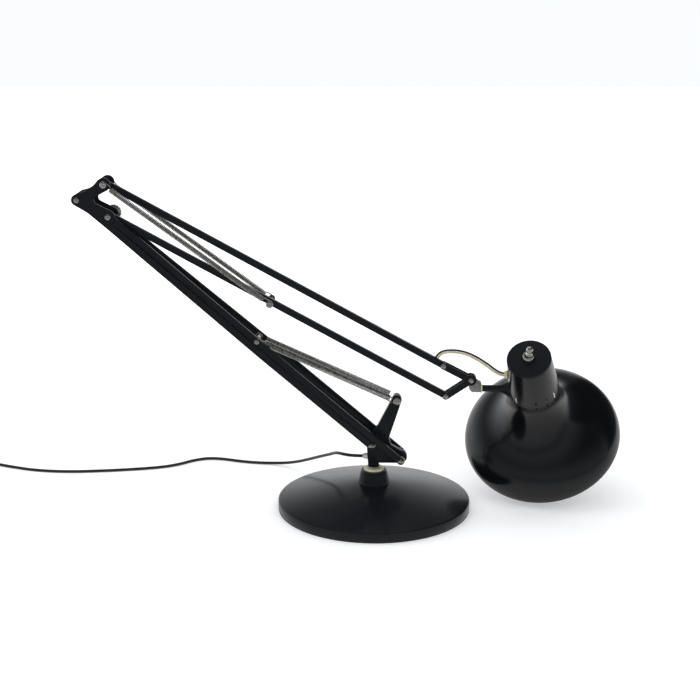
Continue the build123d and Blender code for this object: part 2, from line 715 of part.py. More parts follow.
def shade_solid(inset, top):
    """Round solid that fills the shade's outline, drawn in by an inset, up to a height."""
    radius, height = SHADE_RADIUS - inset, DOME_HEIGHT - inset
    foot = NECK_FOOT_RADIUS - inset
    neck_turn = degrees(atan2((1 - (foot / radius) ** 2) ** 0.5, foot / radius))
    low, knee = dome_point(0, radius, height), dome_point(neck_turn, radius, height)
    bottom = low[1] - (RIM_LIP if inset > 0 else 0)
    outline = [Line((0, bottom), (low[0], bottom))]
    if inset > 0:
        outline.append(Line((low[0], bottom), low))
    arc_count = 4
    for n in range(arc_count):
        turns = [neck_turn * (n + k) / arc_count for k in (0, 0.5, 1)]
        outline.append(ThreePointArc(*[dome_point(turn, radius, height) for turn in turns]))
    corners = [knee, (foot, NECK_CONE_FOOT), (neck_radius(top) - inset, top), (0, top), (0, bottom)]
    outline += [Line(p, q) for p, q in zip(corners, corners[1:])]
    face = make_face(Plane.XZ * Curve(children=[piece.edge() for piece in outline]))
    return revolve(face, axis=Axis.Z)


def neck_radius(z):
    """Outer radius of the neck's cone at a height on the shade's axis."""
    share = (z - NECK_CONE_FOOT) / (NECK_TOP - NECK_CONE_FOOT)
    return NECK_FOOT_RADIUS + share * (NECK_TOP_RADIUS - NECK_FOOT_RADIUS)


def vents():
    """Ring of slots through the neck's wall, along its axis."""
    slots = []
    for n in range(VENT_COUNT):
        cutter = extrude(SlotOverall(VENT_LENGTH, VENT_WIDTH), amount=NECK_FOOT_RADIUS + 2)
        upright = Plane((0, 0, VENT_HEIGHT), x_dir=(0, 0, 1), z_dir=(1, 0, 0))
        slots.append(Rot(0, 0, VENT_PHASE + 360 * n / VENT_COUNT) * upright * cutter)
    return slots


def make_head():
    frame = shade_frame()
    shell = shade_solid(0, NECK_TOP) - shade_solid(SHADE_WALL, NECK_TOP + 1)
    for cutter in vents():
        shell -= cutter
    inlet = Plane((0, 0, GROMMET_HEIGHT), x_dir=(0, 1, 0), z_dir=(1, 0, 0))
    shell -= inlet * extrude(Circle(GROMMET_RADIUS - 0.8), amount=NECK_FOOT_RADIUS + 2)
    keep("shade", frame * shell)

    seat = neck_radius(GROMMET_HEIGHT)
    inner = seat - SHADE_WALL - GROMMET_INSIDE
    barrel = extrude(Circle(GROMMET_RADIUS - 0.8 - SEAT_GAP), amount=seat + GROMMET_PROUD)
    collar = extrude(Circle(GROMMET_RADIUS), amount=seat + GROMMET_PROUD)
    collar = inlet * collar - shade_solid(-SEAT_GAP, NECK_TOP)
    ring = inlet * (barrel - extrude(Circle(GROMMET_BORE), amount=seat + GROMMET_PROUD + 1))
    ring -= inlet * extrude(Circle(GROMMET_RADIUS), amount=inner)
    flange = collar - inlet * extrude(Circle(GROMMET_BORE), amount=seat + GROMMET_PROUD + 1)
    keep("neck_grommet", frame * (ring + flange))
    make_rod(frame)
    make_cap(frame)
    make_lamp(frame)


def make_rod(frame):
    """Rod from the knuckle, which flares into the neck."""
    rod_left = R2[0] + KNUCKLE_FRONT + ROD_WASHER_THICKNESS + SEAT_GAP
    neck_left = SHADE_ORIGIN_X - NECK_FOOT_RADIUS * 1.02
    frame_rod = Plane((0, 0, ROD_HEIGHT), x_dir=(1, 0, 0), z_dir=(0, -1, 0))
    flare_start = neck_left + 3 - TRUMPET_LENGTH
    profile = Polyline(
        (flare_start, ROD_RADIUS),
        (rod_left, ROD_RADIUS),
        (rod_left, ROD_SPIGOT_RADIUS),
        (rod_left - ROD_WASHER_THICKNESS - ROD_SPIGOT_LENGTH, ROD_SPIGOT_RADIUS),
        (rod_left - ROD_WASHER_THICKNESS - ROD_SPIGOT_LENGTH, 0),
        (SHADE_ORIGIN_X, 0),
        (SHADE_ORIGIN_X, TRUMPET_RADIUS),
        (flare_start + TRUMPET_LENGTH, TRUMPET_RADIUS),
    )
    flare = TangentArc((flare_start, ROD_RADIUS), (flare_start + TRUMPET_LENGTH, TRUMPET_RADIUS), tangent=(1, 0.02))
    face = make_face(frame_rod * (profile + flare))
    rod = revolve(face, axis=Axis((0, 0, ROD_HEIGHT), (1, 0, 0)))
    rod -= frame * shade_solid(-SEAT_GAP, NECK_TOP)
    keep("head_rod", max(rod.solids(), key=lambda s: s.volume))


def make_cap(frame):
    """Lid of the neck, with the switch and its ball toggle."""
    cap_low = NECK_TOP
    skirt = Pos(0, 0, cap_low - CAP_SKIRT) * extrude(
        Circle(NECK_TOP_RADIUS - SHADE_WALL - SEAT_GAP) - Circle(NECK_TOP_RADIUS - SHADE_WALL - 2), amount=CAP_SKIRT
    )
    lid = Pos(0, 0, cap_low + 0.4) * extrude(Circle(NECK_TOP_RADIUS), amount=CAP_THICKNESS - 0.4)
    lid = fillet(lid.edges().group_by(Axis.Z)[-1], CAP_ROUND)
    neck_ring = Pos(0, 0, cap_low) * extrude(Circle(NECK_TOP_RADIUS - 0.6), amount=0.4)
    bore = Pos(0, 0, cap_low - 1) * extrude(Circle(FERRULE_BORE + 2), amount=CAP_THICKNESS + 2)
    keep("shade_cap", frame * (lid + neck_ring + skirt - bore))
    cap_top = cap_low + CAP_THICKNESS

    ferrule_outline = Polyline(
        (FERRULE_BORE, cap_top + FERRULE_HEIGHT),
        (FERRULE_BORE, cap_top),
        (FERRULE_RADIUS, cap_top),
        (FERRULE_RADIUS, cap_top + 1.6),
        (FERRULE_RADIUS - 1.8, cap_top + 3.4),
        (FERRULE_RADIUS - 2.6, cap_top + FERRULE_HEIGHT),
        close=True,
    )
    ferrule = revolve(make_face(Plane.XZ * ferrule_outline), axis=Axis.Z)
    barrel = Pos(0, 0, cap_low - 2) * extrude(Circle(FERRULE_BORE + 2 - SEAT_GAP) - Circle(FERRULE_BORE), amount=cap_top - cap_low + 2)
    keep("switch_ferrule", frame * (ferrule + barrel))

    pivot_z = cap_top - 1.0
    toggle = Pos(0, 0, TOGGLE_REACH) * Sphere(TOGGLE_BALL_RADIUS)
    toggle += extrude(Circle(TOGGLE_STEM_RADIUS), amount=TOGGLE_REACH)
    toggle += Sphere(TOGGLE_STEM_RADIUS + 0.6)
    keep("switch_toggle", frame * Pos(0, 0, pivot_z) * Rot(0, -TOGGLE_TILT, 0) * toggle)

    switch_top = cap_low - 2 - SEAT_GAP
    body = Pos(0, 0, switch_top - SWITCH_LENGTH) * extrude(Circle(SWITCH_RADIUS), amount=SWITCH_LENGTH)
    keep("switch_body", frame * body)


def make_lamp(frame):
    """Lampholder held in the neck, and its lamp."""
    flange_radius = neck_radius(HOLDER_TOP) - SHADE_WALL - 2 * SEAT_GAP
    flange = Pos(0, 0, HOLDER_TOP - HOLDER_FLANGE) * extrude(Circle(flange_radius), amount=HOLDER_FLANGE)
    sleeve = Pos(0, 0, HOLDER_TOP - HOLDER_LENGTH) * extrude(Circle(HOLDER_RADIUS), amount=HOLDER_LENGTH)
    socket = Pos(0, 0, HOLDER_TOP - HOLDER_LENGTH - 1) * extrude(
        Circle(HOLDER_RADIUS - HOLDER_WALL), amount=HOLDER_BORE_DEPTH + 1
    )
    keep("lampholder", frame * (flange + sleeve - socket))

    contact = HOLDER_TOP - HOLDER_LENGTH + HOLDER_BORE_DEPTH - SEAT_GAP
    cap = Pos(0, 0, contact - BULB_CAP_LENGTH) * extrude(Circle(BULB_CAP_RADIUS), amount=BULB_CAP_LENGTH)
    globe_z = contact - BULB_LENGTH + BULB_RADIUS
    globe_outline = make_face(
        Plane.XZ
        * (
            Polyline((0, contact - BULB_CAP_LENGTH), (BULB_CAP_RADIUS - 0.6, contact - BULB_CAP_LENGTH))
            + Line((BULB_CAP_RADIUS - 0.6, contact - BULB_CAP_LENGTH), (BULB_RADIUS, globe_z))
            + ThreePointArc(
                (BULB_RADIUS, globe_z),
                (BULB_RADIUS * cos(pi / 4), globe_z - BULB_RADIUS * sin(pi / 4)),
                (0, globe_z - BULB_RADIUS),
            )
            + Line((0, globe_z - BULB_RADIUS), (0, contact - BULB_CAP_LENGTH))
        )
    )
    keep("bulb_cap", frame * cap)
    keep("bulb_glass", frame * revolve(globe_outline, axis=Axis.Z))


# centreline of the two-strand flex, from the top bar to the neck, measured from the top bar's end pivot
FLEX_ROUTE = [
    (-8.79, 0.0, 6.42),
    (-5.59, -0.3, 12.12),
    (-0.19, -1.3, 15.72),
    (8.11, -2.8, 17.22),
    (18.61, -5.2, 17.02),
    (29.11, -8.2, 14.42),
    (38.61, -11.0, 10.02),
    (47.61, -13.6, 4.62),
    (55.61, -15.6, -1.18),
    (62.81, -16.6, -5.28),
    (69.01, -17.3, -5.98),
]


def make_head_flex():
    """Two strands side by side in the arm plane, the dark one above."""
    route = [Vector(R1[0] + x, y, R1[1] + z) for x, y, z in FLEX_ROUTE]
    for name, side in (("head_flex_dark", 1), ("head_flex_pale", -1)):
        strand = []
        for n, p in enumerate(route):
            way = route[min(n + 1, len(route) - 1)] - route[max(n - 1, 0)]
            up = unit(Vector(-way.Z, 0, way.X))
            q = p + up * side * FLEX_SPLIT
            strand.append((q.X, q.Y, q.Z))
        keep(name, cord_tube(strand, 2 * FLEX_RADIUS))


# ---------------------------------------------------------------- springs
def spring(a, b, y, radius, hand):
    """Helical tension spring between two pins, with a hook round each; hand is +1 or -1."""
    start, end = Vector(a[0], y, a[1]), Vector(b[0], y, b[1])
    along = unit(end - start)
    over = Vector(-along.Z, 0, along.X)
    across = Vector(0, hand, 0)
    loop = PIN_RADIUS + 0.3 + WIRE / 2

    def round_pin(centre, angle):
        t = radians(angle)
        return (centre + (over * cos(t) + along * sin(t)) * loop, along * cos(t) - over * sin(t))

    length = (end - start).length
    body = length - 2 * HOOK_REACH
    lead_in = 30.0
    sweep_angle = 360 * SPRING_TURNS - 2 * lead_in
    steps = round(sweep_angle / 90)
    rise = body / radians(sweep_angle)
    stations = [(start + along * loop + over * WIRE, over * -1)]
    stations += [round_pin(start, angle) for angle in (-270, -180, -90, 0)]
    stations.append((start + over * loop + along * (HOOK_REACH - 4.5), along))
    for n in range(steps + 1):
        t = radians(lead_in + sweep_angle * n / steps)
        spot = start + along * (HOOK_REACH + body * n / steps)
        spot += (over * cos(t) + across * sin(t)) * radius
        way = (across * cos(t) - over * sin(t)) * radius + along * rise
        stations.append((spot, unit(way)))
    stations.append((end + over * loop - along * (HOOK_REACH - 4.5), along))
    stations += [round_pin(end, angle) for angle in (0, 90, 180, 270)]
    stations.append((end - along * loop + over * WIRE, over))
    return through(stations)


def make_springs():
    for name, a, b, y, radius in (
        ("lower_spring", SPRING_POST, LOWER_SPRING_PIN, LOWER_SPRING_Y, LOWER_SPRING_RADIUS),
        ("upper_spring", E1, UPPER_SPRING_PIN, UPPER_SPRING_Y, UPPER_SPRING_RADIUS),
    ):
        for side_name, side in (("near", -1), ("far", 1)):
            edges = spring(a, b, side * y, radius, side)
            if side < 0:
                tightest = min(edge.radius for edge in edges if edge.geom_type == GeomType.CIRCLE)
                print(name, "least gap", round(least_gap(edges, WIRE, 4 * WIRE), 2), "tightest", round(tightest, 2))
            keep(name + "_" + side_name, swept(edges, WIRE, 4))


# ---------------------------------------------------------------- mains cord
MAINS_ROUTE = [
    (-13.0, 0.0, 62.0),
    (-25.0, 0.0, 62.0),
    (-36.0, 5.0, 62.2),
    (-42.5, 16.5, 59.8),
    (-46.8, 33.5, 53.6),
    (-52.5, 54.0, 45.0),
    (-61.5, 72.5, 36.6),
    (-71.5, 91.0, 27.8),
    (-83.0, 108.5, 18.8),
    (-96.5, 124.0, 10.4),
    (-112.5, 136.0, 4.4),
    (-131.0, 142.4, 1.9),
    (-151.5, 144.0, 1.8),
    (-172.0, 149.0, 1.9),
    (-191.5, 156.8, 1.8),
    (-211.5, 159.4, 1.9),
    (-229.5, 150.6, 1.8),
    (-244.5, 135.6, 1.9),
    (-263.5, 124.6, 1.8),
    (-292.0, 116.6, 1.9),
    (-331.0, 109.2, 1.8),
    (-377.0, 103.6, 1.9),
    (-419.0, 107.6, 1.8),
    (-454.0, 120.2, 1.9),
]
COIL_APPROACH = 20.0


def coil_point(turns):
    """Centre of the coil's tube after some turns: spiral in and out, a layer up at each reversal."""
    per_layer = COIL_TURNS / COIL_LAYERS
    layer = min(int(turns / per_layer), COIL_LAYERS - 1)
    done = turns / per_layer - layer
    drawn_in = done if layer % 2 == 0 else 1 - done
    radius = COIL_MID_RADIUS + COIL_PITCH * per_layer * (0.5 - drawn_in)
    nearest = max(1, min(COIL_LAYERS - 1, round(turns / per_layer)))
    climb = min(1, max(0, (turns - nearest * per_layer + 0.25) / 0.5))
    level = nearest - 1 + climb * climb * (3 - 2 * climb)
    angle = radians(COIL_START + 360 * turns)
    return Vector(
        COIL_CENTRE[0] + radius * cos(angle),
        COIL_CENTRE[1] + radius * sin(angle),
        CORD_DIAMETER / 2 + COIL_PITCH * level,
    )


def coil_way(turns):
    step = 0.002
    return unit(coil_point(min(COIL_TURNS, turns + step)) - coil_point(max(0, turns - step)))


def make_mains_cord():
    entry, entry_way = coil_point(0), coil_way(0)
    entry_way = unit(Vector(entry_way.X, entry_way.Y, 0))
    joint = entry - entry_way * CORD_DIAMETER
    approach = joint - entry_way * COIL_APPROACH
    route = MAINS_ROUTE + [(approach.X, approach.Y, approach.Z), (joint.X, joint.Y, joint.Z)]
    keep("mains_cord", cord_tube(route, CORD_DIAMETER))

    steps = 4 * COIL_TURNS
    stations = [(joint, entry_way), (entry, entry_way)]
    for n in range(1, steps):
        stations.append((coil_point(n / 4), coil_way(n / 4)))
    leave, leave_way = coil_point(COIL_TURNS), coil_way(COIL_TURNS)
    leave_way = unit(Vector(leave_way.X, leave_way.Y, 0))
    tail = leave + leave_way * COIL_TAIL
    stations += [(leave, leave_way), (tail, leave_way)]
    edges = through(stations)
    length = sum(edge.length for edge in edges)
    print("coil length", round(length, 1), "least gap", round(least_gap(edges, CORD_DIAMETER, 6 * CORD_DIAMETER), 2))
    keep("cord_coil", swept(edges, CORD_DIAMETER, 6))
    make_tie()
    make_plug(tail, leave_way)


def make_tie():
    """Band over the coil's turns, with its legs down to the surface."""
    spread = COIL_PITCH * COIL_TURNS / COIL_LAYERS / 2 + CORD_DIAMETER / 2 + 0.5
    height = COIL_PITCH * (COIL_LAYERS - 1) + CORD_DIAMETER + 0.4
    outer = Pos(COIL_MID_RADIUS, 0, (height + TIE_THICKNESS) / 2) * Box(
        2 * (spread + TIE_THICKNESS), TIE_WIDTH, height + TIE_THICKNESS
    )
    inner = Pos(COIL_MID_RADIUS, 0, height / 2 - 1) * Box(2 * spread, TIE_WIDTH + 1, height + 2)
    place = Pos(COIL_CENTRE[0], COIL_CENTRE[1], 0) * Rot(0, 0, COIL_START + 200)
    keep("cord_tie", place * (outer - inner))


def make_plug(tail, way):
    """Round two-pin plug that lies beside the coil, at the height of its top layer."""
    frame = Plane(tail, x_dir=(0, 0, 1), z_dir=way)
    radius = tail.Z
    body_start, body_end = PLUG_SLEEVE, PLUG_SLEEVE + PLUG_BODY_LENGTH
    outline = [
        Line((0, 0), (PLUG_SLEEVE_RADIUS, 0)),
        Line((PLUG_SLEEVE_RADIUS, 0), (PLUG_SLEEVE_RADIUS + 1.6, body_start)),
        Line((PLUG_SLEEVE_RADIUS + 1.6, body_start), (PLUG_SLEEVE_RADIUS + 4.0, body_start)),
        ThreePointArc(
            (PLUG_SLEEVE_RADIUS + 4.0, body_start), (radius - 2.2, body_start + 4.4), (radius, body_start + 13)
        ),
        Line((radius, body_start + 13), (radius, body_end)),
        Line((radius, body_end), (0, body_end)),
        Line((0, body_end), (0, 0)),
    ]
    body = revolve(make_face(Plane.XZ * Curve(children=[piece.edge() for piece in outline])), axis=Axis.Z)
    pins = []
    for side in (-1, 1):
        spot = Pos(0, side * PLUG_PIN_PITCH / 2, body_end - 5)
        body -= spot * extrude(Circle(PLUG_PIN_RADIUS + SEAT_GAP), amount=6)
        pin = spot * Pos(0, 0, SEAT_GAP) * extrude(Circle(PLUG_PIN_RADIUS), amount=5 + PLUG_PIN_LENGTH)
        pins.append(frame * fillet(pin.edges().group_by(Axis.Z)[-1], 1.2))
    keep("plug_body", frame * body)
    keep("plug_pins", Compound(children=pins))


def main():
    os.makedirs("parts", exist_ok=True)
    make_base()
    make_hub()
    make_swivel()
    make_lower_pins()
    make_lower_arm()
    make_elbow()
    make_upper_arm()
    make_head_plates()
    make_knuckle()
    make_head()
    make_head_flex()
    make_springs()
    make_mains_cord()
    for name, shape in NODES.items():
        export_step(shape, "parts/" + name + ".step")
        print(name, len(shape.solids()), round(shape.volume))


if __name__ == "__main__":
    main()
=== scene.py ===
"""Spring balanced desk lamp: its finished surfaces, cords, springs and studio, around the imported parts.

Lengths are in metres, +Z up, with the origin at the centre of the base's underside. The arms move
in the XZ plane. "near" is the -Y side, towards the camera, and "far" is the +Y side.
"""

import json
import math

import bpy
from bpy.props import FloatProperty, FloatVectorProperty, IntProperty, PointerProperty
from mathutils import Matrix, Vector


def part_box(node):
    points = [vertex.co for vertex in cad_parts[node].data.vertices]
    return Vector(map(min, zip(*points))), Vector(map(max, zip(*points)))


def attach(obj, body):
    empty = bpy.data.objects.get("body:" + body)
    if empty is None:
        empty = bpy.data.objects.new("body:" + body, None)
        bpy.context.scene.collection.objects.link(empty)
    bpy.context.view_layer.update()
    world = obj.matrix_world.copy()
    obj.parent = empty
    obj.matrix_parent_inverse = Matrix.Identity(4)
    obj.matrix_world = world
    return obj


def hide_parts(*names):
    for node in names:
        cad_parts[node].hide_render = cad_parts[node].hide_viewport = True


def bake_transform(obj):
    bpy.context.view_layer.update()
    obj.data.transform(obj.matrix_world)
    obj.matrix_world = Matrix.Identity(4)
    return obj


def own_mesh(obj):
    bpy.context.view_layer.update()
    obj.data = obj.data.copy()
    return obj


bl_info = {
    "name": "Balanced Desk Lamp",
    "version": (1, 0, 0),
    "blender": (4, 5, 0),
    "location": "3D View > Sidebar > Lamp",
    "description": "Builds a spring balanced desk lamp piece by piece",
    "category": "Add Mesh",
}

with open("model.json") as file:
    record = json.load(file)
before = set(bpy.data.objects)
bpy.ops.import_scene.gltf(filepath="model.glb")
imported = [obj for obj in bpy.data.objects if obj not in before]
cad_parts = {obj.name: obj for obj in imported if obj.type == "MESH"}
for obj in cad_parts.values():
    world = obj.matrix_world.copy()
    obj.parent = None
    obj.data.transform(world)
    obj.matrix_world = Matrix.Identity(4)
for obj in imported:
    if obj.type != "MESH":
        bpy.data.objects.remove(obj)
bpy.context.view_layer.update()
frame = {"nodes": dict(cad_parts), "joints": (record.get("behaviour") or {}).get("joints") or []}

MM = 0.001
FULL_TURN = 2 * math.pi
TURN_STEPS = 96
FINE_TURN_STEPS = 160
SMALL_TURN_STEPS = 40
LOBE_SIDES = 48


# ---------------------------------------------------------------- places read from the frame
def pin_centre(node):
    """Middle of a pin of the arms, which is its pivot."""
    low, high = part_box(node)
    return (low + high) / 2


def pivot(joint_name):
    """Place of a joint of the frame."""
    joint = next(joint for joint in frame["joints"] if joint["name"] == joint_name)
    return Vector(joint["pos_m"])


FRONT_FOOT = pin_centre("front_bar_pin")
REAR_FOOT = pin_centre("rear_bar_pin")
FRONT_ELBOW = pin_centre("front_elbow_pin")
REAR_ELBOW = pivot("elbow_turn")
UPPER_ELBOW = pin_centre("upper_bar_pin")
SPRING_POST = pin_centre("lower_spring_post")
LOWER_SPRING_PIN = pin_centre("lower_spring_pin")
UPPER_SPRING_PIN = pin_centre("upper_spring_pin")
TOP_BAR_END = pin_centre("top_bar_end_pin")
HEAD_PIVOT = pin_centre("head_pivot_pin")
BOTTOM_BAR_END = pin_centre("bottom_bar_end_pin")
ROD_FOOT = pivot("head_turn")

# the shade's own axis, as in the parts: +z towards the cap, x towards the arm
SHADE_AXIS = Vector((-0.182, -0.628, 0.757)).normalized()
SHADE_REACH = 0.07121
SHADE_ORIGIN = Vector((HEAD_PIVOT.x + SHADE_REACH, 0, ROD_FOOT.z))
SHADE_SIDE = (Vector((-1, 0, 0)) - SHADE_AXIS * Vector((-1, 0, 0)).dot(SHADE_AXIS)).normalized()
SHADE_PLACE = Matrix.Translation(SHADE_ORIGIN) @ Matrix(
    (SHADE_SIDE, SHADE_AXIS.cross(SHADE_SIDE), SHADE_AXIS)
).transposed().to_4x4()


# ---------------------------------------------------------------- sizes and colours to change
class BaseSizes(bpy.types.PropertyGroup):
    """Sizes of the base and its hub."""

    radius: FloatProperty(name="Radius", description="Radius of the base", default=0.110, unit="LENGTH")
    rim_height: FloatProperty(
        name="Rim height",
        description="Height of the flat band at the base's rim",
        default=0.0125,
        unit="LENGTH",
    )
    rim_round: FloatProperty(
        name="Rim round", description="Rounding between the band and the crown", default=0.0021, unit="LENGTH"
    )
    crown_height: FloatProperty(
        name="Crown height", description="Height of the crown at the hub", default=0.031, unit="LENGTH"
    )
    hub_foot: FloatProperty(
        name="Hub foot", description="Radius of the hub's foot", default=0.01775, unit="LENGTH"
    )
    hub_top: FloatProperty(
        name="Hub top", description="Radius of the hub's top", default=0.01475, unit="LENGTH"
    )
    hub_height: FloatProperty(
        name="Hub height", description="Height of the hub's top above the table", default=0.046, unit="LENGTH"
    )
    bushing_radius: FloatProperty(
        name="Bushing radius", description="Radius of the bushing's flange", default=0.01175, unit="LENGTH"
    )
    bushing_flange: FloatProperty(
        name="Bushing flange", description="Thickness of the bushing's flange", default=0.0022, unit="LENGTH"
    )


class ArmSizes(bpy.types.PropertyGroup):
    """Sizes of the arms' bars, plates and springs."""

    lower_bar_height: FloatProperty(
        name="Lower bar height", description="Height of the lower arm's bars", default=0.0077, unit="LENGTH"
    )
    upper_bar_height: FloatProperty(
        name="Upper bar height", description="Height of the upper arm's bars", default=0.0074, unit="LENGTH"
    )
    bar_edge: FloatProperty(
        name="Bar edge", description="Rounding of the bars' long edges", default=0.0007, unit="LENGTH"
    )
    wire: FloatProperty(
        name="Wire", description="Diameter of the springs' wire", default=0.0013, unit="LENGTH"
    )
    lower_coil: FloatProperty(
        name="Lower coil",
        description="Radius of a lower spring at the wire's middle",
        default=0.0032,
        unit="LENGTH",
    )
    upper_coil: FloatProperty(
        name="Upper coil",
        description="Radius of an upper spring at the wire's middle",
        default=0.0027,
        unit="LENGTH",
    )
    lower_turns: IntProperty(name="Lower turns", description="Turns of a lower spring", default=105)
    upper_turns: IntProperty(name="Upper turns", description="Turns of an upper spring", default=116)


class HeadSizes(bpy.types.PropertyGroup):
    """Sizes of the shade, its neck and the switch."""

    shade_radius: FloatProperty(
        name="Shade radius", description="Radius of the rim", default=0.0912, unit="LENGTH"
    )
    rim_drop: FloatProperty(
        name="Rim drop",
        description="Rim below the rod's line, on the shade's axis",
        default=0.0998,
        unit="LENGTH",
    )
    dome_height: FloatProperty(
        name="Dome height", description="Height of the dome's quarter ellipse", default=0.0491, unit="LENGTH"
    )
    wall: FloatProperty(name="Wall", description="Thickness of the spun sheet", default=0.0012, unit="LENGTH")
    neck_top_radius: FloatProperty(
        name="Neck top radius", description="Radius of the neck under its cap", default=0.0245, unit="LENGTH"
    )
    neck_foot_radius: FloatProperty(
        name="Neck foot radius",
        description="Radius of the neck at the foot of its cone",
        default=0.028,
        unit="LENGTH",
    )
    neck_top: FloatProperty(
        name="Neck top", description="Top of the neck on the axis", default=0.056, unit="LENGTH"
    )
    cone_foot: FloatProperty(
        name="Cone foot", description="Foot of the neck's cone on the axis", default=0.006, unit="LENGTH"
    )
    vents: IntProperty(name="Vents", description="Slots round the neck's foot", default=14)


class CordSizes(bpy.types.PropertyGroup):
    """Sizes of the lead and the flex."""

    lead_diameter: FloatProperty(
        name="Lead diameter", description="Diameter of the mains lead", default=0.0036, unit="LENGTH"
    )
    lead_length: FloatProperty(
        name="Lead length", description="Whole length of the mains lead", default=1.83, unit="LENGTH"
    )
    strand_diameter: FloatProperty(
        name="Strand diameter",
        description="Diameter of each strand to the shade",
        default=0.0023,
        unit="LENGTH",
    )
    strand_split: FloatProperty(
        name="Strand split",
        description="Each strand's distance from the flex's middle",
        default=0.0013,
        unit="LENGTH",
    )


def linear(hex_colour):
    """Linear red, green, blue and alpha of an sRGB hex colour."""
    channels = [int(hex_colour[n : n + 2], 16) / 255 for n in (0, 2, 4)]
    return (*[c / 12.92 if c <= 0.04045 else ((c + 0.055) / 1.055) ** 2.4 for c in channels], 1.0)


def colour_property(label, about, hex_colour):
    return FloatVectorProperty(
        name=label, description=about, subtype="COLOR", size=4, min=0, max=1, default=linear(hex_colour)
    )


class LampColours(bpy.types.PropertyGroup):
    """Colours of the lamp's finishes."""

    arm_enamel: colour_property("Arm enamel", "Black stove enamel of the arms", "12161B")
    shade_enamel: colour_property("Shade enamel", "Black enamel outside the shade", "0B0D10")
    shade_lining: colour_property("Shade lining", "White enamel inside the shade", "E9E8E2")
    base_enamel: colour_property("Base enamel", "Black enamel of the base", "14171B")
    cap_enamel: colour_property("Cap enamel", "Satin black of the shade's cap", "101318")
    nylon: colour_property("Nylon", "Cream nylon of the bushing", "DDD6B8")
    zinc: colour_property("Zinc", "Bare zinc castings", "C4C3BF")
    chrome: colour_property("Chrome", "Bright plating", "E6E3DE")
    spring_steel: colour_property("Spring steel", "Bright wire of the springs", "C8C6C1")
    nickel: colour_property("Nickel", "Nickel plate of the rivets", "D6D3CC")
    washer_metal: colour_property("Washer metal", "Nickelled washers", "E2DAC2")
    lead: colour_property("Lead", "Sheath of the mains lead", "1D1F22")
    dark_strand: colour_property("Dark strand", "Dark strand of the flex", "2A2A20")
    pale_strand: colour_property("Pale strand", "Pale strand of the flex", "C9BE94")


class LampSettings(bpy.types.PropertyGroup):
    """All that a user of this lamp would change."""

    base: PointerProperty(type=BaseSizes)
    arm: PointerProperty(type=ArmSizes)
    head: PointerProperty(type=HeadSizes)
    cord: PointerProperty(type=CordSizes)
    colours: PointerProperty(type=LampColours)


def settings():
    return bpy.context.scene.lamp


# ---------------------------------------------------------------- modelling by hand
def select_only(*pieces):
    bpy.ops.object.select_all(action="DESELECT")
    for piece in pieces:
        piece.select_set(True)
    bpy.context.view_layer.objects.active = pieces[0]


def edit(piece):
    select_only(piece)
    bpy.ops.object.mode_set(mode="EDIT")
    bpy.ops.mesh.select_all(action="SELECT")


def close_edit():
    bpy.ops.object.mode_set(mode="OBJECT")
    return bpy.context.view_layer.objects.active


def clean(piece, merge=2e-6):
    """Merges doubles and turns the faces outwards."""
    edit(piece)
    bpy.ops.mesh.remove_doubles(threshold=merge)
    bpy.ops.mesh.normals_make_consistent(inside=False)
    return close_edit()


def turned(name, profile, place=None, steps=TURN_STEPS):
    """Round piece: a point is extruded along (radius, height) stations and spun about Z, then placed."""
    bpy.ops.object.select_all(action="DESELECT")
    bpy.ops.mesh.primitive_plane_add(size=MM)
    piece = bpy.context.object
    piece.name = name
    bpy.ops.object.mode_set(mode="EDIT")
    bpy.ops.mesh.select_all(action="SELECT")
    bpy.ops.mesh.merge(type="CENTER")
    bpy.ops.transform.translate(value=(profile[0][0], 0, profile[0][1]))
    for (radius_a, height_a), (radius_b, height_b) in zip(profile, profile[1:]):
        bpy.ops.mesh.extrude_region_move(
            TRANSFORM_OT_translate={"value": (radius_b - radius_a, 0, height_b - height_a)}
        )
    bpy.ops.mesh.select_all(action="SELECT")
    bpy.ops.mesh.spin(steps=steps, angle=FULL_TURN, center=(0, 0, 0), axis=(0, 0, 1))
    close_edit()
    clean(piece)
    return put(piece, place) if place else piece


def put(piece, place):
    """Moves a piece to its place, with the place kept in its mesh."""
    piece.matrix_world = place @ piece.matrix_world
    select_only(piece)
    bpy.ops.object.transform_apply(location=True, rotation=True, scale=True)
    return piece


def arc(centre, radius, first, last, steps=6):
    """Stations of a round stretch of a profile; angles in degrees from the +radius side."""
    angles = [math.radians(first + (last - first) * n / steps) for n in range(steps + 1)]
    return [(centre[0] + radius * math.cos(a), centre[1] + radius * math.sin(a)) for a in angles]


def across(point):
    """Place whose +Z runs along +Y, across the arms, through a pivot."""
    return Matrix.Translation(Vector((point.x, 0, point.z))) @ Matrix.Rotation(-math.pi / 2, 4, "X")


def along_rod(point):
    """Place whose +Z runs along +X from a point."""
    return Matrix.Translation(point) @ Matrix.Rotation(math.pi / 2, 4, "Y")


def cross_cylinder(point, radius, near, far, sides=LOBE_SIDES):
    """Round lobe or hole across the arms."""
    bpy.ops.mesh.primitive_cylinder_add(
        vertices=sides,
        radius=radius,
        depth=far - near,
        location=(point.x, (near + far) / 2, point.z),
        rotation=(math.pi / 2, 0, 0),
    )
    return bpy.context.object


def hulled(name, lobes, near, far):
    """Plate between two planes, whose outline is the hull of round lobes (point, radius)."""
    bpy.ops.object.select_all(action="DESELECT")
    near, far = min(near, far), max(near, far)
    piece = cross_cylinder(*lobes[0], near, far)
    piece.name = name
    edit(piece)
    for point, radius in lobes[1:]:
        cross_cylinder(point, radius, near, far)
    bpy.ops.mesh.select_all(action="SELECT")
    bpy.ops.mesh.convex_hull()
    bpy.ops.mesh.dissolve_limited(angle_limit=math.radians(0.5))
    close_edit()
    select_only(piece)
    bpy.ops.object.transform_apply(location=True, rotation=True, scale=True)
    return piece


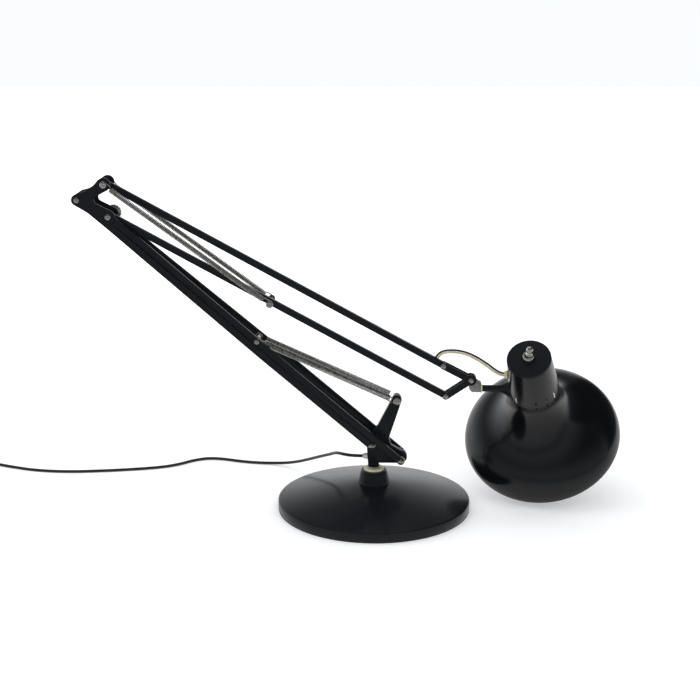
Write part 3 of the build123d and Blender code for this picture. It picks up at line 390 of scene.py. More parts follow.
def combined(piece, other, operation):
    """Joins, cuts or crosses a piece with another, which is used up."""
    modifier = piece.modifiers.new("shape", "BOOLEAN")
    modifier.operation = operation
    modifier.solver = "EXACT"
    modifier.object = other
    select_only(piece)
    bpy.ops.object.modifier_apply(modifier=modifier.name)
    bpy.data.objects.remove(other)
    return piece


def drilled(piece, point, radius, near, far):
    bpy.ops.object.select_all(action="DESELECT")
    return combined(piece, cross_cylinder(point, radius, near - 2 * MM, far + 2 * MM), "DIFFERENCE")


def smooth(piece, angle=32):
    select_only(piece)
    bpy.ops.object.shade_smooth_by_angle(angle=math.radians(angle))
    return piece


def softened(piece, width, segments=3, angle=38):
    """Rounds a piece's sharp edges and shades the rest smooth."""
    modifier = piece.modifiers.new("edges", "BEVEL")
    modifier.width = width
    modifier.segments = segments
    modifier.limit_method = "ANGLE"
    modifier.angle_limit = math.radians(angle)
    modifier.harden_normals = False
    select_only(piece)
    bpy.ops.object.modifier_apply(modifier=modifier.name)
    return smooth(piece, 40)


def merged_copy(node, name):
    """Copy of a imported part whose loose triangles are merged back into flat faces."""
    piece = frame["nodes"][node].copy()
    piece.data = piece.data.copy()
    piece.parent = None
    for key in list(piece.keys()):
        del piece[key]
    piece.name = name
    piece.data.name = name
    bpy.context.scene.collection.objects.link(piece)
    edit(piece)
    bpy.ops.mesh.remove_doubles(threshold=2e-6)
    bpy.ops.mesh.dissolve_limited(angle_limit=math.radians(1.0))
    return close_edit()


def wire_piece(name, points, thickness, kind="NURBS", sides=3, steps=4, order=3):
    """Round wire along control points, as a curve."""
    curve = bpy.data.curves.new(name, "CURVE")
    curve.dimensions = "3D"
    curve.bevel_depth = thickness / 2
    curve.bevel_resolution = sides
    curve.resolution_u = steps
    curve.use_fill_caps = True
    spline = curve.splines.new(kind)
    spline.points.add(len(points) - 1)
    for control, point in zip(spline.points, points):
        control.co = (*point, 1.0)
    if kind == "NURBS":
        spline.order_u = order
        spline.use_endpoint_u = True
    piece = bpy.data.objects.new(name, curve)
    bpy.context.scene.collection.objects.link(piece)
    return piece


def as_mesh(piece):
    select_only(piece)
    bpy.ops.object.convert(target="MESH")
    piece = bpy.context.object
    clean(piece)
    return smooth(piece, 60)


def hand_over(piece, material, slot, body, *nodes):
    """Gives a finished piece its material and the body that it moves with; the slot is not used."""
    piece.data.materials.clear()
    piece.data.materials.append(material)
    if body:
        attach(piece, body)
    if nodes:
        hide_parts(*nodes)
    return piece


# ---------------------------------------------------------------- materials
def add(tree, kind, values=None, links=None):
    """Adds a node; lower-case names are its settings, others its sockets."""
    node = tree.nodes.new(kind)
    for name, value in (values or {}).items():
        if isinstance(name, str) and name == name.lower():
            setattr(node, name, value)
        else:
            node.inputs[name].default_value = value
    for name, source in (links or {}).items():
        tree.links.new(source, node.inputs[name])
    return node


def new_material(name, colour, **surface):
    """Empty material with its shader; returns the material, its tree and the shader."""
    material = bpy.data.materials.new(name)
    material.use_nodes = True
    tree = material.node_tree
    shader = tree.nodes["Principled BSDF"]
    shader.inputs["Base Color"].default_value = colour
    for socket, value in surface.items():
        shader.inputs[socket.replace("_", " ")].default_value = value
    return material, tree, shader


def object_coordinates(tree):
    return add(tree, "ShaderNodeTexCoord").outputs["Object"]


def per_metre(size_mm):
    """Noise scale at which one feature is about this many millimetres wide."""
    return 1000 / size_mm


def noise(tree, size_mm, detail=3.0, coordinates=None):
    return add(
        tree,
        "ShaderNodeTexNoise",
        {"Scale": per_metre(size_mm), "Detail": detail},
        {"Vector": coordinates or object_coordinates(tree)},
    ).outputs["Fac"]


def ranged(tree, source, low, high, start=0.0, end=1.0):
    """Stretches a value from start..end to low..high."""
    return add(
        tree,
        "ShaderNodeMapRange",
        {"From Min": start, "From Max": end, "To Min": low, "To Max": high},
        {"Value": source},
    ).outputs["Result"]


def combine_values(tree, operation, first, second):
    """Sum, product or greater of two values."""
    return add(tree, "ShaderNodeMath", {"operation": operation}, {0: first, 1: second}).outputs["Value"]


def tinted(tree, source, colour_a, colour_b, start=0.35, end=0.65):
    """Colour that goes from one to the other with a value."""
    ramp = add(tree, "ShaderNodeValToRGB", links={"Fac": source})
    ramp.color_ramp.elements[0].position = start
    ramp.color_ramp.elements[1].position = end
    ramp.color_ramp.elements[0].color = colour_a
    ramp.color_ramp.elements[1].color = colour_b
    return ramp.outputs["Color"]


def coloured(tree, shader, source, colour_a, colour_b, start=0.35, end=0.65):
    """Base colour that goes from one colour to the other with a value."""
    tree.links.new(tinted(tree, source, colour_a, colour_b, start, end), shader.inputs["Base Color"])


def roughened(tree, shader, source, low, high, start=0.0, end=1.0):
    """Roughness that goes from low to high with a value."""
    tree.links.new(ranged(tree, source, low, high, start, end), shader.inputs["Roughness"])


def bumped(tree, shader, source, depth_mm, strength=1.0):
    bump = add(
        tree, "ShaderNodeBump", {"Strength": strength, "Distance": depth_mm * MM}, {"Height": source}
    )
    tree.links.new(bump.outputs["Normal"], shader.inputs["Normal"])


def shaded(colour, factor):
    """The same colour, darker or lighter."""
    return (*[min(1.0, c * factor) for c in colour[:3]], 1.0)


def stove_enamel(name, colour, roughness, peel_mm=2.4, dust=0.02, specular=0.3):
    """Black stove enamel on steel: a satin skin, with a faint orange peel and a little dust.

    The roughness is its middle value; a slow cloud varies it."""
    material, tree, shader = new_material(name, colour, IOR=1.5, Specular_IOR_Level=specular)
    coordinates = object_coordinates(tree)
    peel = noise(tree, peel_mm, 1.0, coordinates)
    cloud = noise(tree, 26, 4.0, coordinates)
    roughened(tree, shader, cloud, roughness * 0.88, roughness * 1.2, 0.3, 0.7)
    specks = noise(tree, 0.7, 0.0, coordinates)
    dusty = (*[c + dust for c in colour[:3]], 1.0)
    coloured(tree, shader, specks, colour, dusty, 0.70, 0.82)
    bumped(tree, shader, peel, 0.012)
    return material


def satin_enamel():
    """Satin black of the shade's cap: even, finely textured paint."""
    colours = settings().colours
    material, tree, shader = new_material("satin_black_paint", colours.cap_enamel, Specular_IOR_Level=0.3)
    coordinates = object_coordinates(tree)
    grain = noise(tree, 0.6, 2.0, coordinates)
    roughened(tree, shader, grain, 0.36, 0.50, 0.3, 0.7)
    bumped(tree, shader, grain, 0.02)
    return material


def white_enamel():
    """White stove enamel inside the shade, slightly warm with age."""
    colours = settings().colours
    material, tree, shader = new_material("white_stove_enamel", colours.shade_lining)
    cloud = noise(tree, 30, 3.0)
    coloured(tree, shader, cloud, colours.shade_lining, linear("DDD9CC"))
    roughened(tree, shader, cloud, 0.28, 0.42)
    bumped(tree, shader, noise(tree, 2.5, 1.0), 0.01)
    return material


def cream_nylon():
    """Moulded nylon of the bushing: soft sheen and a waxy depth."""
    colours = settings().colours
    material, tree, shader = new_material("cream_nylon", colours.nylon, Roughness=0.42, IOR=1.53)
    shader.inputs["Subsurface Weight"].default_value = 0.15
    shader.inputs["Subsurface Scale"].default_value = 0.001
    cloud = noise(tree, 5, 4.0)
    coloured(tree, shader, cloud, colours.nylon, shaded(colours.nylon, 0.82))
    bumped(tree, shader, noise(tree, 0.5, 2.0), 0.01)
    return material


def die_cast_zinc():
    """Bare die-cast zinc: grey metal with a fine grain and duller patches."""
    colours = settings().colours
    material, tree, shader = new_material("die_cast_zinc", colours.zinc, Metallic=1.0)
    coordinates = object_coordinates(tree)
    cloud = noise(tree, 4, 5.0, coordinates)
    grain = noise(tree, 0.45, 2.0, coordinates)
    coloured(tree, shader, cloud, colours.zinc, shaded(colours.zinc, 0.68))
    roughened(tree, shader, cloud, 0.26, 0.48)
    bumped(tree, shader, grain, 0.02)
    return material


def bright_chrome():
    """Chrome plate: bright, with a soft haze."""
    colours = settings().colours
    material, tree, shader = new_material("chrome_plate", colours.chrome, Metallic=1.0)
    roughened(tree, shader, noise(tree, 3, 3.0), 0.10, 0.22)
    return material


def bright_spring_steel():
    """Drawn spring wire: bright metal with duller streaks where its oil has dried."""
    colours = settings().colours
    material, tree, shader = new_material("drawn_spring_wire", colours.spring_steel, Metallic=1.0)
    coordinates = object_coordinates(tree)
    wear = noise(tree, 2.2, 4.0, coordinates)
    dull, bright = shaded(colours.spring_steel, 0.6), shaded(colours.spring_steel, 1.5)
    coloured(tree, shader, wear, dull, bright, 0.36, 0.66)
    roughened(tree, shader, wear, 0.22, 0.36)
    return material


def nickel_plate():
    """Nickel plate of the rivets: bright, with a soft haze and small dull spots."""
    colours = settings().colours
    material, tree, shader = new_material("nickel_plate", colours.nickel, Metallic=1.0)
    coordinates = object_coordinates(tree)
    haze = noise(tree, 1.4, 3.0, coordinates)
    coloured(tree, shader, haze, shaded(colours.nickel, 0.8), colours.nickel)
    roughened(tree, shader, haze, 0.14, 0.30)
    return material


def nickelled_washer():
    """Yellowed nickel plate of the washers and the plug's pins: warm and bright."""
    colours = settings().colours
    material, tree, shader = new_material("nickelled_washer", colours.washer_metal, Metallic=1.0)
    roughened(tree, shader, noise(tree, 1.5, 3.0), 0.12, 0.28)
    return material


def blackened_steel():
    """Chemically blackened steel of the spacers: dark metal with paler, worn patches."""
    material, tree, shader = new_material("blackened_steel", linear("1C1D1F"), Metallic=0.35)
    cloud = noise(tree, 1.2, 4.0)
    coloured(tree, shader, cloud, linear("141517"), linear("303236"), 0.5, 0.8)
    roughened(tree, shader, cloud, 0.22, 0.42)
    return material


def soft_vinyl(name, colour, roughness=0.42):
    """Plasticised PVC of a flex: soft sheen on a finely uneven skin."""
    material, tree, shader = new_material(name, colour, IOR=1.53)
    coordinates = object_coordinates(tree)
    cloud = noise(tree, 9, 3.0, coordinates)
    coloured(tree, shader, cloud, shaded(colour, 0.85), shaded(colour, 1.15))
    roughened(tree, shader, cloud, roughness * 0.85, roughness * 1.2)
    bumped(tree, shader, noise(tree, 0.6, 2.0, coordinates), 0.02)
    return material


def black_bakelite():
    """Moulded phenolic plastic: deep brownish black with a polished skin."""
    material, tree, shader = new_material("black_bakelite", linear("15110F"), IOR=1.6)
    swirl = noise(tree, 6, 6.0)
    coloured(tree, shader, swirl, linear("110E0D"), linear("241A15"), 0.45, 0.8)
    roughened(tree, shader, swirl, 0.14, 0.26)
    return material


def rolled_aluminium():
    """Rolled aluminium of the bulb's screw cap: pale metal with a soft, uneven shine."""
    material, tree, shader = new_material("rolled_aluminium", linear("C8C9CA"), Metallic=1.0)
    roughened(tree, shader, noise(tree, 1.0, 3.0), 0.22, 0.38)
    return material


def frosted_glass():
    """Inside-frosted lamp glass: milky, with a clear outer skin."""
    material, tree, shader = new_material("frosted_glass", linear("F1F0EA"), Roughness=0.18, IOR=1.5)
    shader.inputs["Transmission Weight"].default_value = 0.35
    shader.inputs["Subsurface Weight"].default_value = 0.4
    shader.inputs["Subsurface Scale"].default_value = 0.004
    cloud = noise(tree, 12, 2.0)
    coloured(tree, shader, cloud, linear("F3F2EC"), linear("E6E5DF"))
    return material


def clear_bush_plastic():
    """Cloudy see-through plastic of the bush that the lead leaves by."""
    material, tree, shader = new_material("clear_plastic", linear("DCDCD4"), Roughness=0.3, IOR=1.49)
    shader.inputs["Transmission Weight"].default_value = 0.45
    cloud = noise(tree, 3, 3.0)
    coloured(tree, shader, cloud, linear("E6E5DE"), linear("C9C8BF"))
    return material


def pressed_felt():
    """Black wool felt under the base: matted fibres."""
    material, tree, shader = new_material("pressed_felt", linear("1B1B1C"), Roughness=0.95)
    shader.inputs["Sheen Weight"].default_value = 0.4
    fibres = noise(tree, 0.35, 5.0)
    coloured(tree, shader, fibres, linear("131314"), linear("2E2E30"))
    bumped(tree, shader, fibres, 0.15)
    return material


def sand_cast_iron():
    """Sand-cast iron of the hidden weight: grey and grainy."""
    material, tree, shader = new_material("sand_cast_iron", linear("4A4A4B"), Metallic=0.7)
    grains = noise(tree, 1.1, 5.0)
    coloured(tree, shader, grains, linear("38383A"), linear("5E5C59"))
    roughened(tree, shader, grains, 0.55, 0.8)
    bumped(tree, shader, grains, 0.2)
    return material


FINISHES = {}


def finish(name):
    """The lamp's material of this name, made at its first use."""
    if name not in FINISHES:
        colours = settings().colours
        makers = {
            "arm": lambda: stove_enamel("arm_stove_enamel", colours.arm_enamel, 0.28),
            "shade": lambda: stove_enamel("shade_stove_enamel", colours.shade_enamel, 0.18, 3.5, 0.006, 0.5),
            "base": lambda: stove_enamel("base_stove_enamel", colours.base_enamel, 0.20, 3.0, 0.02),
            "cap": satin_enamel,
            "lining": white_enamel,
            "nylon": cream_nylon,
            "zinc": die_cast_zinc,
            "chrome": bright_chrome,
            "wire": bright_spring_steel,
            "nickel": nickel_plate,
            "washer": nickelled_washer,
            "blackened": blackened_steel,
            "lead": lambda: soft_vinyl("lead_sheath", colours.lead, 0.45),
            "dark_strand": lambda: soft_vinyl("dark_strand_sheath", colours.dark_strand),
            "pale_strand": lambda: soft_vinyl("pale_strand_sheath", colours.pale_strand),
            "bakelite": black_bakelite,
            "aluminium": rolled_aluminium,
            "glass": frosted_glass,
            "clear": clear_bush_plastic,
            "felt": pressed_felt,
            "iron": sand_cast_iron,
        }
        FINISHES[name] = makers[name]()
    return FINISHES[name]


# ---------------------------------------------------------------- operators: base
class PieceOperator(bpy.types.Operator):
    bl_options = {"REGISTER", "UNDO"}


class LAMP_OT_base(PieceOperator):
    """Spins the base's cover, with its flat band, crown and thin wall."""

    bl_idname = "lamp.base"
    bl_label = "Base"

    def execute(self, context):
        size = settings().base
        foot, foot_edge, sheet, bore, corner = 0.05 * MM, 0.4 * MM, 2 * MM, 8 * MM, 1.5 * MM
        shoulder_round = size.rim_round
        slope = math.degrees(math.atan2(size.crown_height - size.rim_height, size.radius - size.hub_foot))
        centre = (size.radius - shoulder_round, size.rim_height - shoulder_round)
        outside = [(size.radius - foot_edge, foot), (size.radius, foot + foot_edge)]
        outside += arc(centre, shoulder_round, 0, 90 - slope)
        outside += [(size.hub_foot - MM, size.crown_height), (bore, size.crown_height)]
        inner_shoulder = size.rim_height - sheet - corner
        inside = [
            (bore, size.crown_height - sheet),
            (size.hub_foot - MM, size.crown_height - sheet),
            (size.radius - sheet - corner, inner_shoulder + corner),
            (size.radius - sheet, inner_shoulder),
            (size.radius - sheet, foot),
            (size.radius - foot_edge, foot),
        ]
        cover = smooth(turned("base_shell", outside + inside, steps=FINE_TURN_STEPS), 50)
        hand_over(cover, finish("base"), "base_enamel", "base", "base_cover")
        return {"FINISHED"}


class LAMP_OT_hub(PieceOperator):
    """Spins the hub with its fine grooves, and the bushing that the spindle turns in."""

    bl_idname = "lamp.hub"
    bl_label = "Hub and bushing"

    def execute(self, context):
        size = settings().base
        low, top = size.crown_height, size.hub_height
        bore, edge = 8 * MM, 0.5 * MM
        groove_width, groove_depth, first_groove, groove_pitch = 0.8 * MM, 0.4 * MM, 1.9 * MM, 2.05 * MM

        def wall(height):
            share = (height - low) / (top - low)
            return size.hub_foot + share * (size.hub_top - size.hub_foot)

        profile = [(bore, low), (size.hub_foot, low)]
        for height in [low + first_groove + n * groove_pitch for n in range(6)]:
            profile += [
                (wall(height), height),
                (wall(height) - groove_depth, height + 0.1 * MM),
                (wall(height) - groove_depth, height + groove_width - 0.1 * MM),
                (wall(height + groove_width), height + groove_width),
            ]
        profile += [(size.hub_top - edge, top), (bore, top), (bore, low)]
        hub = smooth(turned("hub_boss", profile), 30)
        hand_over(hub, finish("arm"), "enamel", "base", "hub")

        flange_top = top + size.bushing_flange
        lip, hole, sleeve, sleeve_foot = 0.5 * MM, 6.05 * MM, 7.95 * MM, low - 2 * MM
        profile = [(hole, sleeve_foot), (sleeve, sleeve_foot), (sleeve, top)]
        profile += [(size.bushing_radius - lip, top)]
        profile += arc((size.bushing_radius - lip, top + lip), lip, -90, 0, 4)
        profile += arc((size.bushing_radius - lip, flange_top - lip), lip, 0, 90, 4)
        profile += [(hole, flange_top), (hole, sleeve_foot)]
        bushing = smooth(turned("nylon_bushing", profile), 40)
        hand_over(bushing, finish("nylon"), "bushing", "base", "hub_bushing")
        return {"FINISHED"}


# ---------------------------------------------------------------- operators: bracket and arms
class LAMP_OT_bracket(PieceOperator):
    """Rounds the bracket's edges as the press and file leave them."""

    bl_idname = "lamp.bracket"
    bl_label = "Bracket"

    def execute(self, context):
        bracket = softened(merged_copy("bracket", "bracket_plate"), 0.9 * MM, 3)
        hand_over(bracket, finish("arm"), "enamel", "swivel", "bracket")
        washers = softened(merged_copy("bracket_washers", "bracket_washer_set"), 0.2 * MM, 2)
        hand_over(washers, finish("washer"), "brass", "swivel", "bracket_washers")
        bush_low, bush_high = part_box("cable_bush")
        radius = (bush_high.y - bush_low.y) / 2
        length = bush_high.x - bush_low.x
        place = Matrix.Translation((bush_high.x, 0, (bush_low.z + bush_high.z) / 2)) @ Matrix.Rotation(
            -math.pi / 2, 4, "Y"
        )
        profile = [(0, 0), (radius, 0), (radius, 0.55 * length)]
        profile += [(radius - 0.5 * MM, 0.6 * length), (radius - 0.5 * MM, 0.72 * length)]
        profile += arc((radius - 1.4 * MM, length - 0.9 * MM), 0.9 * MM, 0, 90, 4) + [(0, length)]
        bush = smooth(turned("lead_bush", profile, place, SMALL_TURN_STEPS), 35)
        hand_over(bush, finish("clear"), "clear_bush", "swivel", "cable_bush")
        return {"FINISHED"}


def crowned_head(radius, seat, height, side, hollow=0.0):
    """Stations of a rivet's domed head outside a seat; side is -1 for the near head, +1 for the far one.

    A tubular rivet's head has a hollow of this radius in its middle."""
    rim = 0.25 * height
    crown = [(radius, 0), (radius, rim)]
    crown += [
        (radius * math.cos(math.radians(a)), rim + (height - rim) * math.sin(math.radians(a)))
        for a in (20, 40, 60, 75, 90)
    ]
    if hollow:
        crown[-2:] = [(hollow, 0.95 * height), (0.85 * hollow, 0.4 * height), (0, 0.3 * height)]
    stations = [(r if n < len(crown) - 1 else 0, seat + side * out) for n, (r, out) in enumerate(crown)]
    return stations if side > 0 else stations[::-1]


def rivet(node, body, shank, height, hollow=0.0, material="nickel"):
    """Domed rivet through a pivot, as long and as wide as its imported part."""
    low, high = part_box(node)
    point = (low + high) / 2
    radius = (high.x - low.x) / 2
    seat = high.y - height
    profile = crowned_head(radius, -seat, height, -1, hollow) + [(shank, -seat), (shank, seat)]
    profile += crowned_head(radius, seat, height, 1, hollow)
    piece = smooth(turned(node + "_rivet", profile, across(point), SMALL_TURN_STEPS), 45)
    return hand_over(piece, finish(material), "pin_steel", body, node)


class LAMP_OT_rivets(PieceOperator):
    """Spins the domed rivets of the pivots."""

    bl_idname = "lamp.rivets"
    bl_label = "Rivets"

    def execute(self, context):
        pin, head_pin = 2.5 * MM, 2.2 * MM
        rivet("front_bar_pin", "swivel", pin, 2.4 * MM, hollow=1.4 * MM)
        rivet("rear_bar_pin", "swivel", pin, 2.4 * MM)
        rivet("lower_spring_post", "swivel", pin, 1.6 * MM)
        rivet("lower_spring_pin", "rear_bars", pin, 1.6 * MM)
        rivet("upper_bar_pin", "elbow", pin, 2.0 * MM, material="chrome")
        rivet("front_elbow_pin", "elbow", pin, 2.4 * MM)
        rivet("upper_spring_pin", "bottom_arm", pin, 2.0 * MM)
        rivet("top_bar_end_pin", "head_plates", head_pin, 2.0 * MM)
        rivet("head_pivot_pin", "head_plates", head_pin, 2.0 * MM)
        rivet("bottom_bar_end_pin", "head_plates", head_pin, 2.0 * MM)
        return {"FINISHED"}


def flat_bar(name, start, end, height, near, far, bores):
    """Straight bar with round ends between two pivots."""
    bar = hulled(name, [(start, height / 2), (end, height / 2)], near, far)
    for point, radius in bores:
        drilled(bar, point, radius, min(near, far), max(near, far))
    return bar


def drawn_in(bar, start, end, share, flat_end, shift):
    """Bends a bar: from a share of its length on it slants, and its last stretch runs straight again."""
    way = (end - start).normalized()
    length = (end - start).length
    stations = (share * length, length - flat_end)
    edit(bar)
    for distance in stations:
        bpy.ops.mesh.select_all(action="SELECT")
        bpy.ops.mesh.bisect(plane_co=start + way * distance, plane_no=way)
    bpy.ops.mesh.select_all(action="DESELECT")
    close_edit()
    for vertex in bar.data.vertices:
        vertex.select = (vertex.co - start).dot(way) > stations[1] - 0.01 * MM
    bpy.ops.object.mode_set(mode="EDIT")
    bpy.ops.transform.translate(value=(0, shift, 0))
    return close_edit()


class LAMP_OT_lower_bars(PieceOperator):
    """Models the four bars of the lower arm, which draw in towards the elbow."""

    bl_idname = "lamp.lower_bars"
    bl_label = "Lower arm bars"

    def execute(self, context):
        size = settings().arm
        foot, elbow, depth = 17.5 * MM, 6.5 * MM, 4 * MM
        bend_share, flat_end = 0.38, 47 * MM
        bores = {
            "front": [(FRONT_FOOT, 2.55 * MM), (FRONT_ELBOW, 2.85 * MM)],
            "rear": [(REAR_FOOT, 2.55 * MM), (REAR_ELBOW, 2.55 * MM)],
        }
        ends = {"front": (FRONT_FOOT, FRONT_ELBOW), "rear": (REAR_FOOT, REAR_ELBOW)}
        for row, body in (("front", "front_bars"), ("rear", "rear_bars")):
            start, end = (Vector((point.x, 0, point.z)) for point in ends[row])
            for side, way in (("near", -1), ("far", 1)):
                near, far = sorted((way * foot, way * (foot + depth)))
                bar = flat_bar(
                    f"{row}_{side}_flat", start, end, size.lower_bar_height, near, far, bores[row]
                )
                drawn_in(bar, start, end, bend_share, flat_end, way * (elbow - foot))
                softened(bar, size.bar_edge)
                hand_over(bar, finish("arm"), "enamel", body, f"{row}_bar_{side}")
        return {"FINISHED"}


class LAMP_OT_upper_bars(PieceOperator):
    """Models the two bars of the upper arm, with the hole that the flex leaves by."""

    bl_idname = "lamp.upper_bars"
    bl_label = "Upper arm bars"

    def execute(self, context):
        size = settings().arm
        half = 3 * MM
        flat = [Vector((p.x, 0, p.z)) for p in (UPPER_ELBOW, TOP_BAR_END, REAR_ELBOW, BOTTOM_BAR_END)]
        top = flat_bar(
            "top_bar_flat",
            flat[0],
            flat[1],
            size.upper_bar_height,
            -half,
            half,
            [(UPPER_ELBOW, 2.55 * MM), (TOP_BAR_END, 2.25 * MM)],
        )
        way = (flat[0] - flat[1]).normalized()
        above = Vector((way.z, 0, -way.x))
        above = above if above.z > 0 else -above
        mouth_from_end, mouth_radius = 11 * MM, 2.9 * MM
        mouth = flat[1] + way * mouth_from_end + above * size.upper_bar_height / 2
        bpy.ops.object.select_all(action="DESELECT")
        bpy.ops.mesh.primitive_cylinder_add(
            vertices=LOBE_SIDES,
            radius=mouth_radius,
            depth=10 * MM,
            location=mouth,
            rotation=above.to_track_quat("Z", "Y").to_euler(),
        )
        combined(top, bpy.context.object, "DIFFERENCE")
        softened(top, size.bar_edge)
        hand_over(top, finish("arm"), "enamel", "top_arm", "top_bar")
        bottom = flat_bar(
            "bottom_bar_flat",
            flat[2],
            flat[3],
            size.upper_bar_height,
            -half,
            half,
            [(REAR_ELBOW, 2.55 * MM), (BOTTOM_BAR_END, 2.55 * MM)],
        )
        softened(bottom, size.bar_edge)
        hand_over(bottom, finish("arm"), "enamel", "bottom_arm", "bottom_bar")
        return {"FINISHED"}


class LAMP_OT_elbow(PieceOperator):
    """Rounds the elbow's plates, and spins its bolt and friction knob."""

    bl_idname = "lamp.elbow"
    bl_label = "Elbow"

    def execute(self, context):
        for side in ("near", "far"):
            cheek = softened(merged_copy("elbow_plate_" + side, "elbow_cheek_" + side), 0.5 * MM)
            hand_over(cheek, finish("arm"), "enamel", "elbow", "elbow_plate_" + side)
        low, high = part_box("elbow_bolt")
        head, seat = 3.5 * MM, low.y + 2.4 * MM
        profile = crowned_head(head, seat, 2.4 * MM, -1)
        profile += [(2.5 * MM, seat), (2.5 * MM, high.y), (0, high.y)]
        bolt = smooth(turned("elbow_bolt_turned", profile, across(REAR_ELBOW), SMALL_TURN_STEPS), 45)
        hand_over(bolt, finish("nickel"), "pin_steel", "elbow", "elbow_bolt")
        self.knob()
        return {"FINISHED"}

    def knob(self):
        """Plated knob with a domed back and grip flutes round its rim."""
        low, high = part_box("elbow_knob")
        radius, bore, collar, dome = (high.x - low.x) / 2, 2.55 * MM, 4.5 * MM, 3 * MM
        profile = [(bore, low.y), (collar, low.y), (collar, low.y + 2 * MM)]
        profile += [(radius - 0.6 * MM, low.y + 2.8 * MM), (radius, low.y + 3.4 * MM)]
        profile += [(radius, high.y - dome)]
        profile += [
            (radius * math.cos(math.radians(a)), high.y - dome * (1 - math.sin(math.radians(a))))
            for a in (15, 30, 45, 60, 75)
        ]
        bore_end = high.y - 2.8 * MM
        profile += [(0, high.y), (0, bore_end), (bore, bore_end), (bore, low.y)]
        knob = turned("friction_knob", profile, across(REAR_ELBOW), SMALL_TURN_STEPS)
        flutes = 16
        for n in range(flutes):
            angle = FULL_TURN * n / flutes
            spot = REAR_ELBOW + Vector((math.cos(angle), 0, math.sin(angle))) * (radius + 0.9 * MM)
            bpy.ops.object.select_all(action="DESELECT")
            combined(knob, cross_cylinder(spot, 1.5 * MM, low.y + 1 * MM, high.y + MM, 20), "DIFFERENCE")
        smooth(knob, 35)
        hand_over(knob, finish("nickel"), "zinc", "knob", "elbow_knob")


# ---------------------------------------------------------------- operators: head
class LAMP_OT_head_plates(PieceOperator):
    """Rounds the forked plates at the head."""

    bl_idname = "lamp.head_plates"
    bl_label = "Head plates"

    def execute(self, context):
        for side in ("near", "far"):
            fork = softened(merged_copy("head_plate_" + side, "head_fork_" + side), 0.5 * MM)
            hand_over(fork, finish("arm"), "enamel", "head_plates", "head_plate_" + side)
        return {"FINISHED"}


class LAMP_OT_knuckle(PieceOperator):
    """Rounds the cast knuckle, and spins its washer and the flared rod."""

    bl_idname = "lamp.knuckle"
    bl_label = "Knuckle and rod"

    def execute(self, context):
        knuckle = softened(merged_copy("knuckle", "cast_knuckle"), 0.8 * MM)
        hand_over(knuckle, finish("zinc"), "zinc", "knuckle", "knuckle")
        low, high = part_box("knuckle_washer")
        radius, thickness = (high.y - low.y) / 2, high.x - low.x
        edge = 0.35 * MM
        profile = [(1.95 * MM, 0), (radius - edge, 0)]
        profile += arc((radius - edge, edge), edge, -90, 0, 3)
        profile += arc((radius - edge, thickness - edge), edge, 0, 90, 3)
        profile += [(1.95 * MM, thickness), (1.95 * MM, 0)]
        place = along_rod(Vector((low.x, 0, ROD_FOOT.z)))
        washer = smooth(turned("rod_washer", profile, place, SMALL_TURN_STEPS), 45)
        hand_over(washer, finish("nylon"), "bushing", "knuckle", "knuckle_washer")
        self.rod()
        return {"FINISHED"}

    def rod(self):
        """Rod whose end flares like a trumpet into the neck's side."""
        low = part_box("head_rod")[0]
        rod_radius, spigot, flare, flare_length = 3.75 * MM, 1.9 * MM, 14 * MM, 16 * MM
        neck_wall, bite = 28.56 * MM, 3 * MM
        spigot_end = 9.3 * MM
        flare_start = SHADE_ORIGIN.x - neck_wall + bite - flare_length - low.x
        profile = [(0, 0), (spigot - 0.3 * MM, 0), (spigot, 0.3 * MM), (spigot, spigot_end)]
        profile += [(rod_radius - 0.4 * MM, spigot_end), (rod_radius, spigot_end + 0.4 * MM)]
        profile += [(rod_radius, flare_start)]
        steps = 14
        for n in range(1, steps + 1):
            share = n / steps
            wide = rod_radius + (flare - rod_radius) * share**2.1
            profile.append((wide, flare_start + flare_length * share))
        profile += [(flare, SHADE_ORIGIN.x - low.x), (0, SHADE_ORIGIN.x - low.x)]
        rod = turned("flared_rod", profile, along_rod(Vector((low.x, 0, ROD_FOOT.z))))
        size = settings().head
        neck = neck_plug(size, 0.03 * MM)
        combined(rod, neck, "DIFFERENCE")
        smooth(rod, 35)
        hand_over(rod, finish("arm"), "enamel", "head", "head_rod")


def neck_radius(size, height):
    """Outside radius of the neck's cone at a height on the shade's axis."""
    share = (height - size.cone_foot) / (size.neck_top - size.cone_foot)
    return size.neck_foot_radius + share * (size.neck_top_radius - size.neck_foot_radius)


def neck_plug(size, gap):
    """Solid cone that fills the neck, for cutting what meets it."""
    low, high = -60 * MM, size.neck_top + 10 * MM
    profile = [(0, low), (size.neck_foot_radius + gap, low), (size.neck_foot_radius + gap, size.cone_foot)]
    profile += [(neck_radius(size, high) + gap, high), (0, high)]
    return turned("neck_plug", profile, SHADE_PLACE)


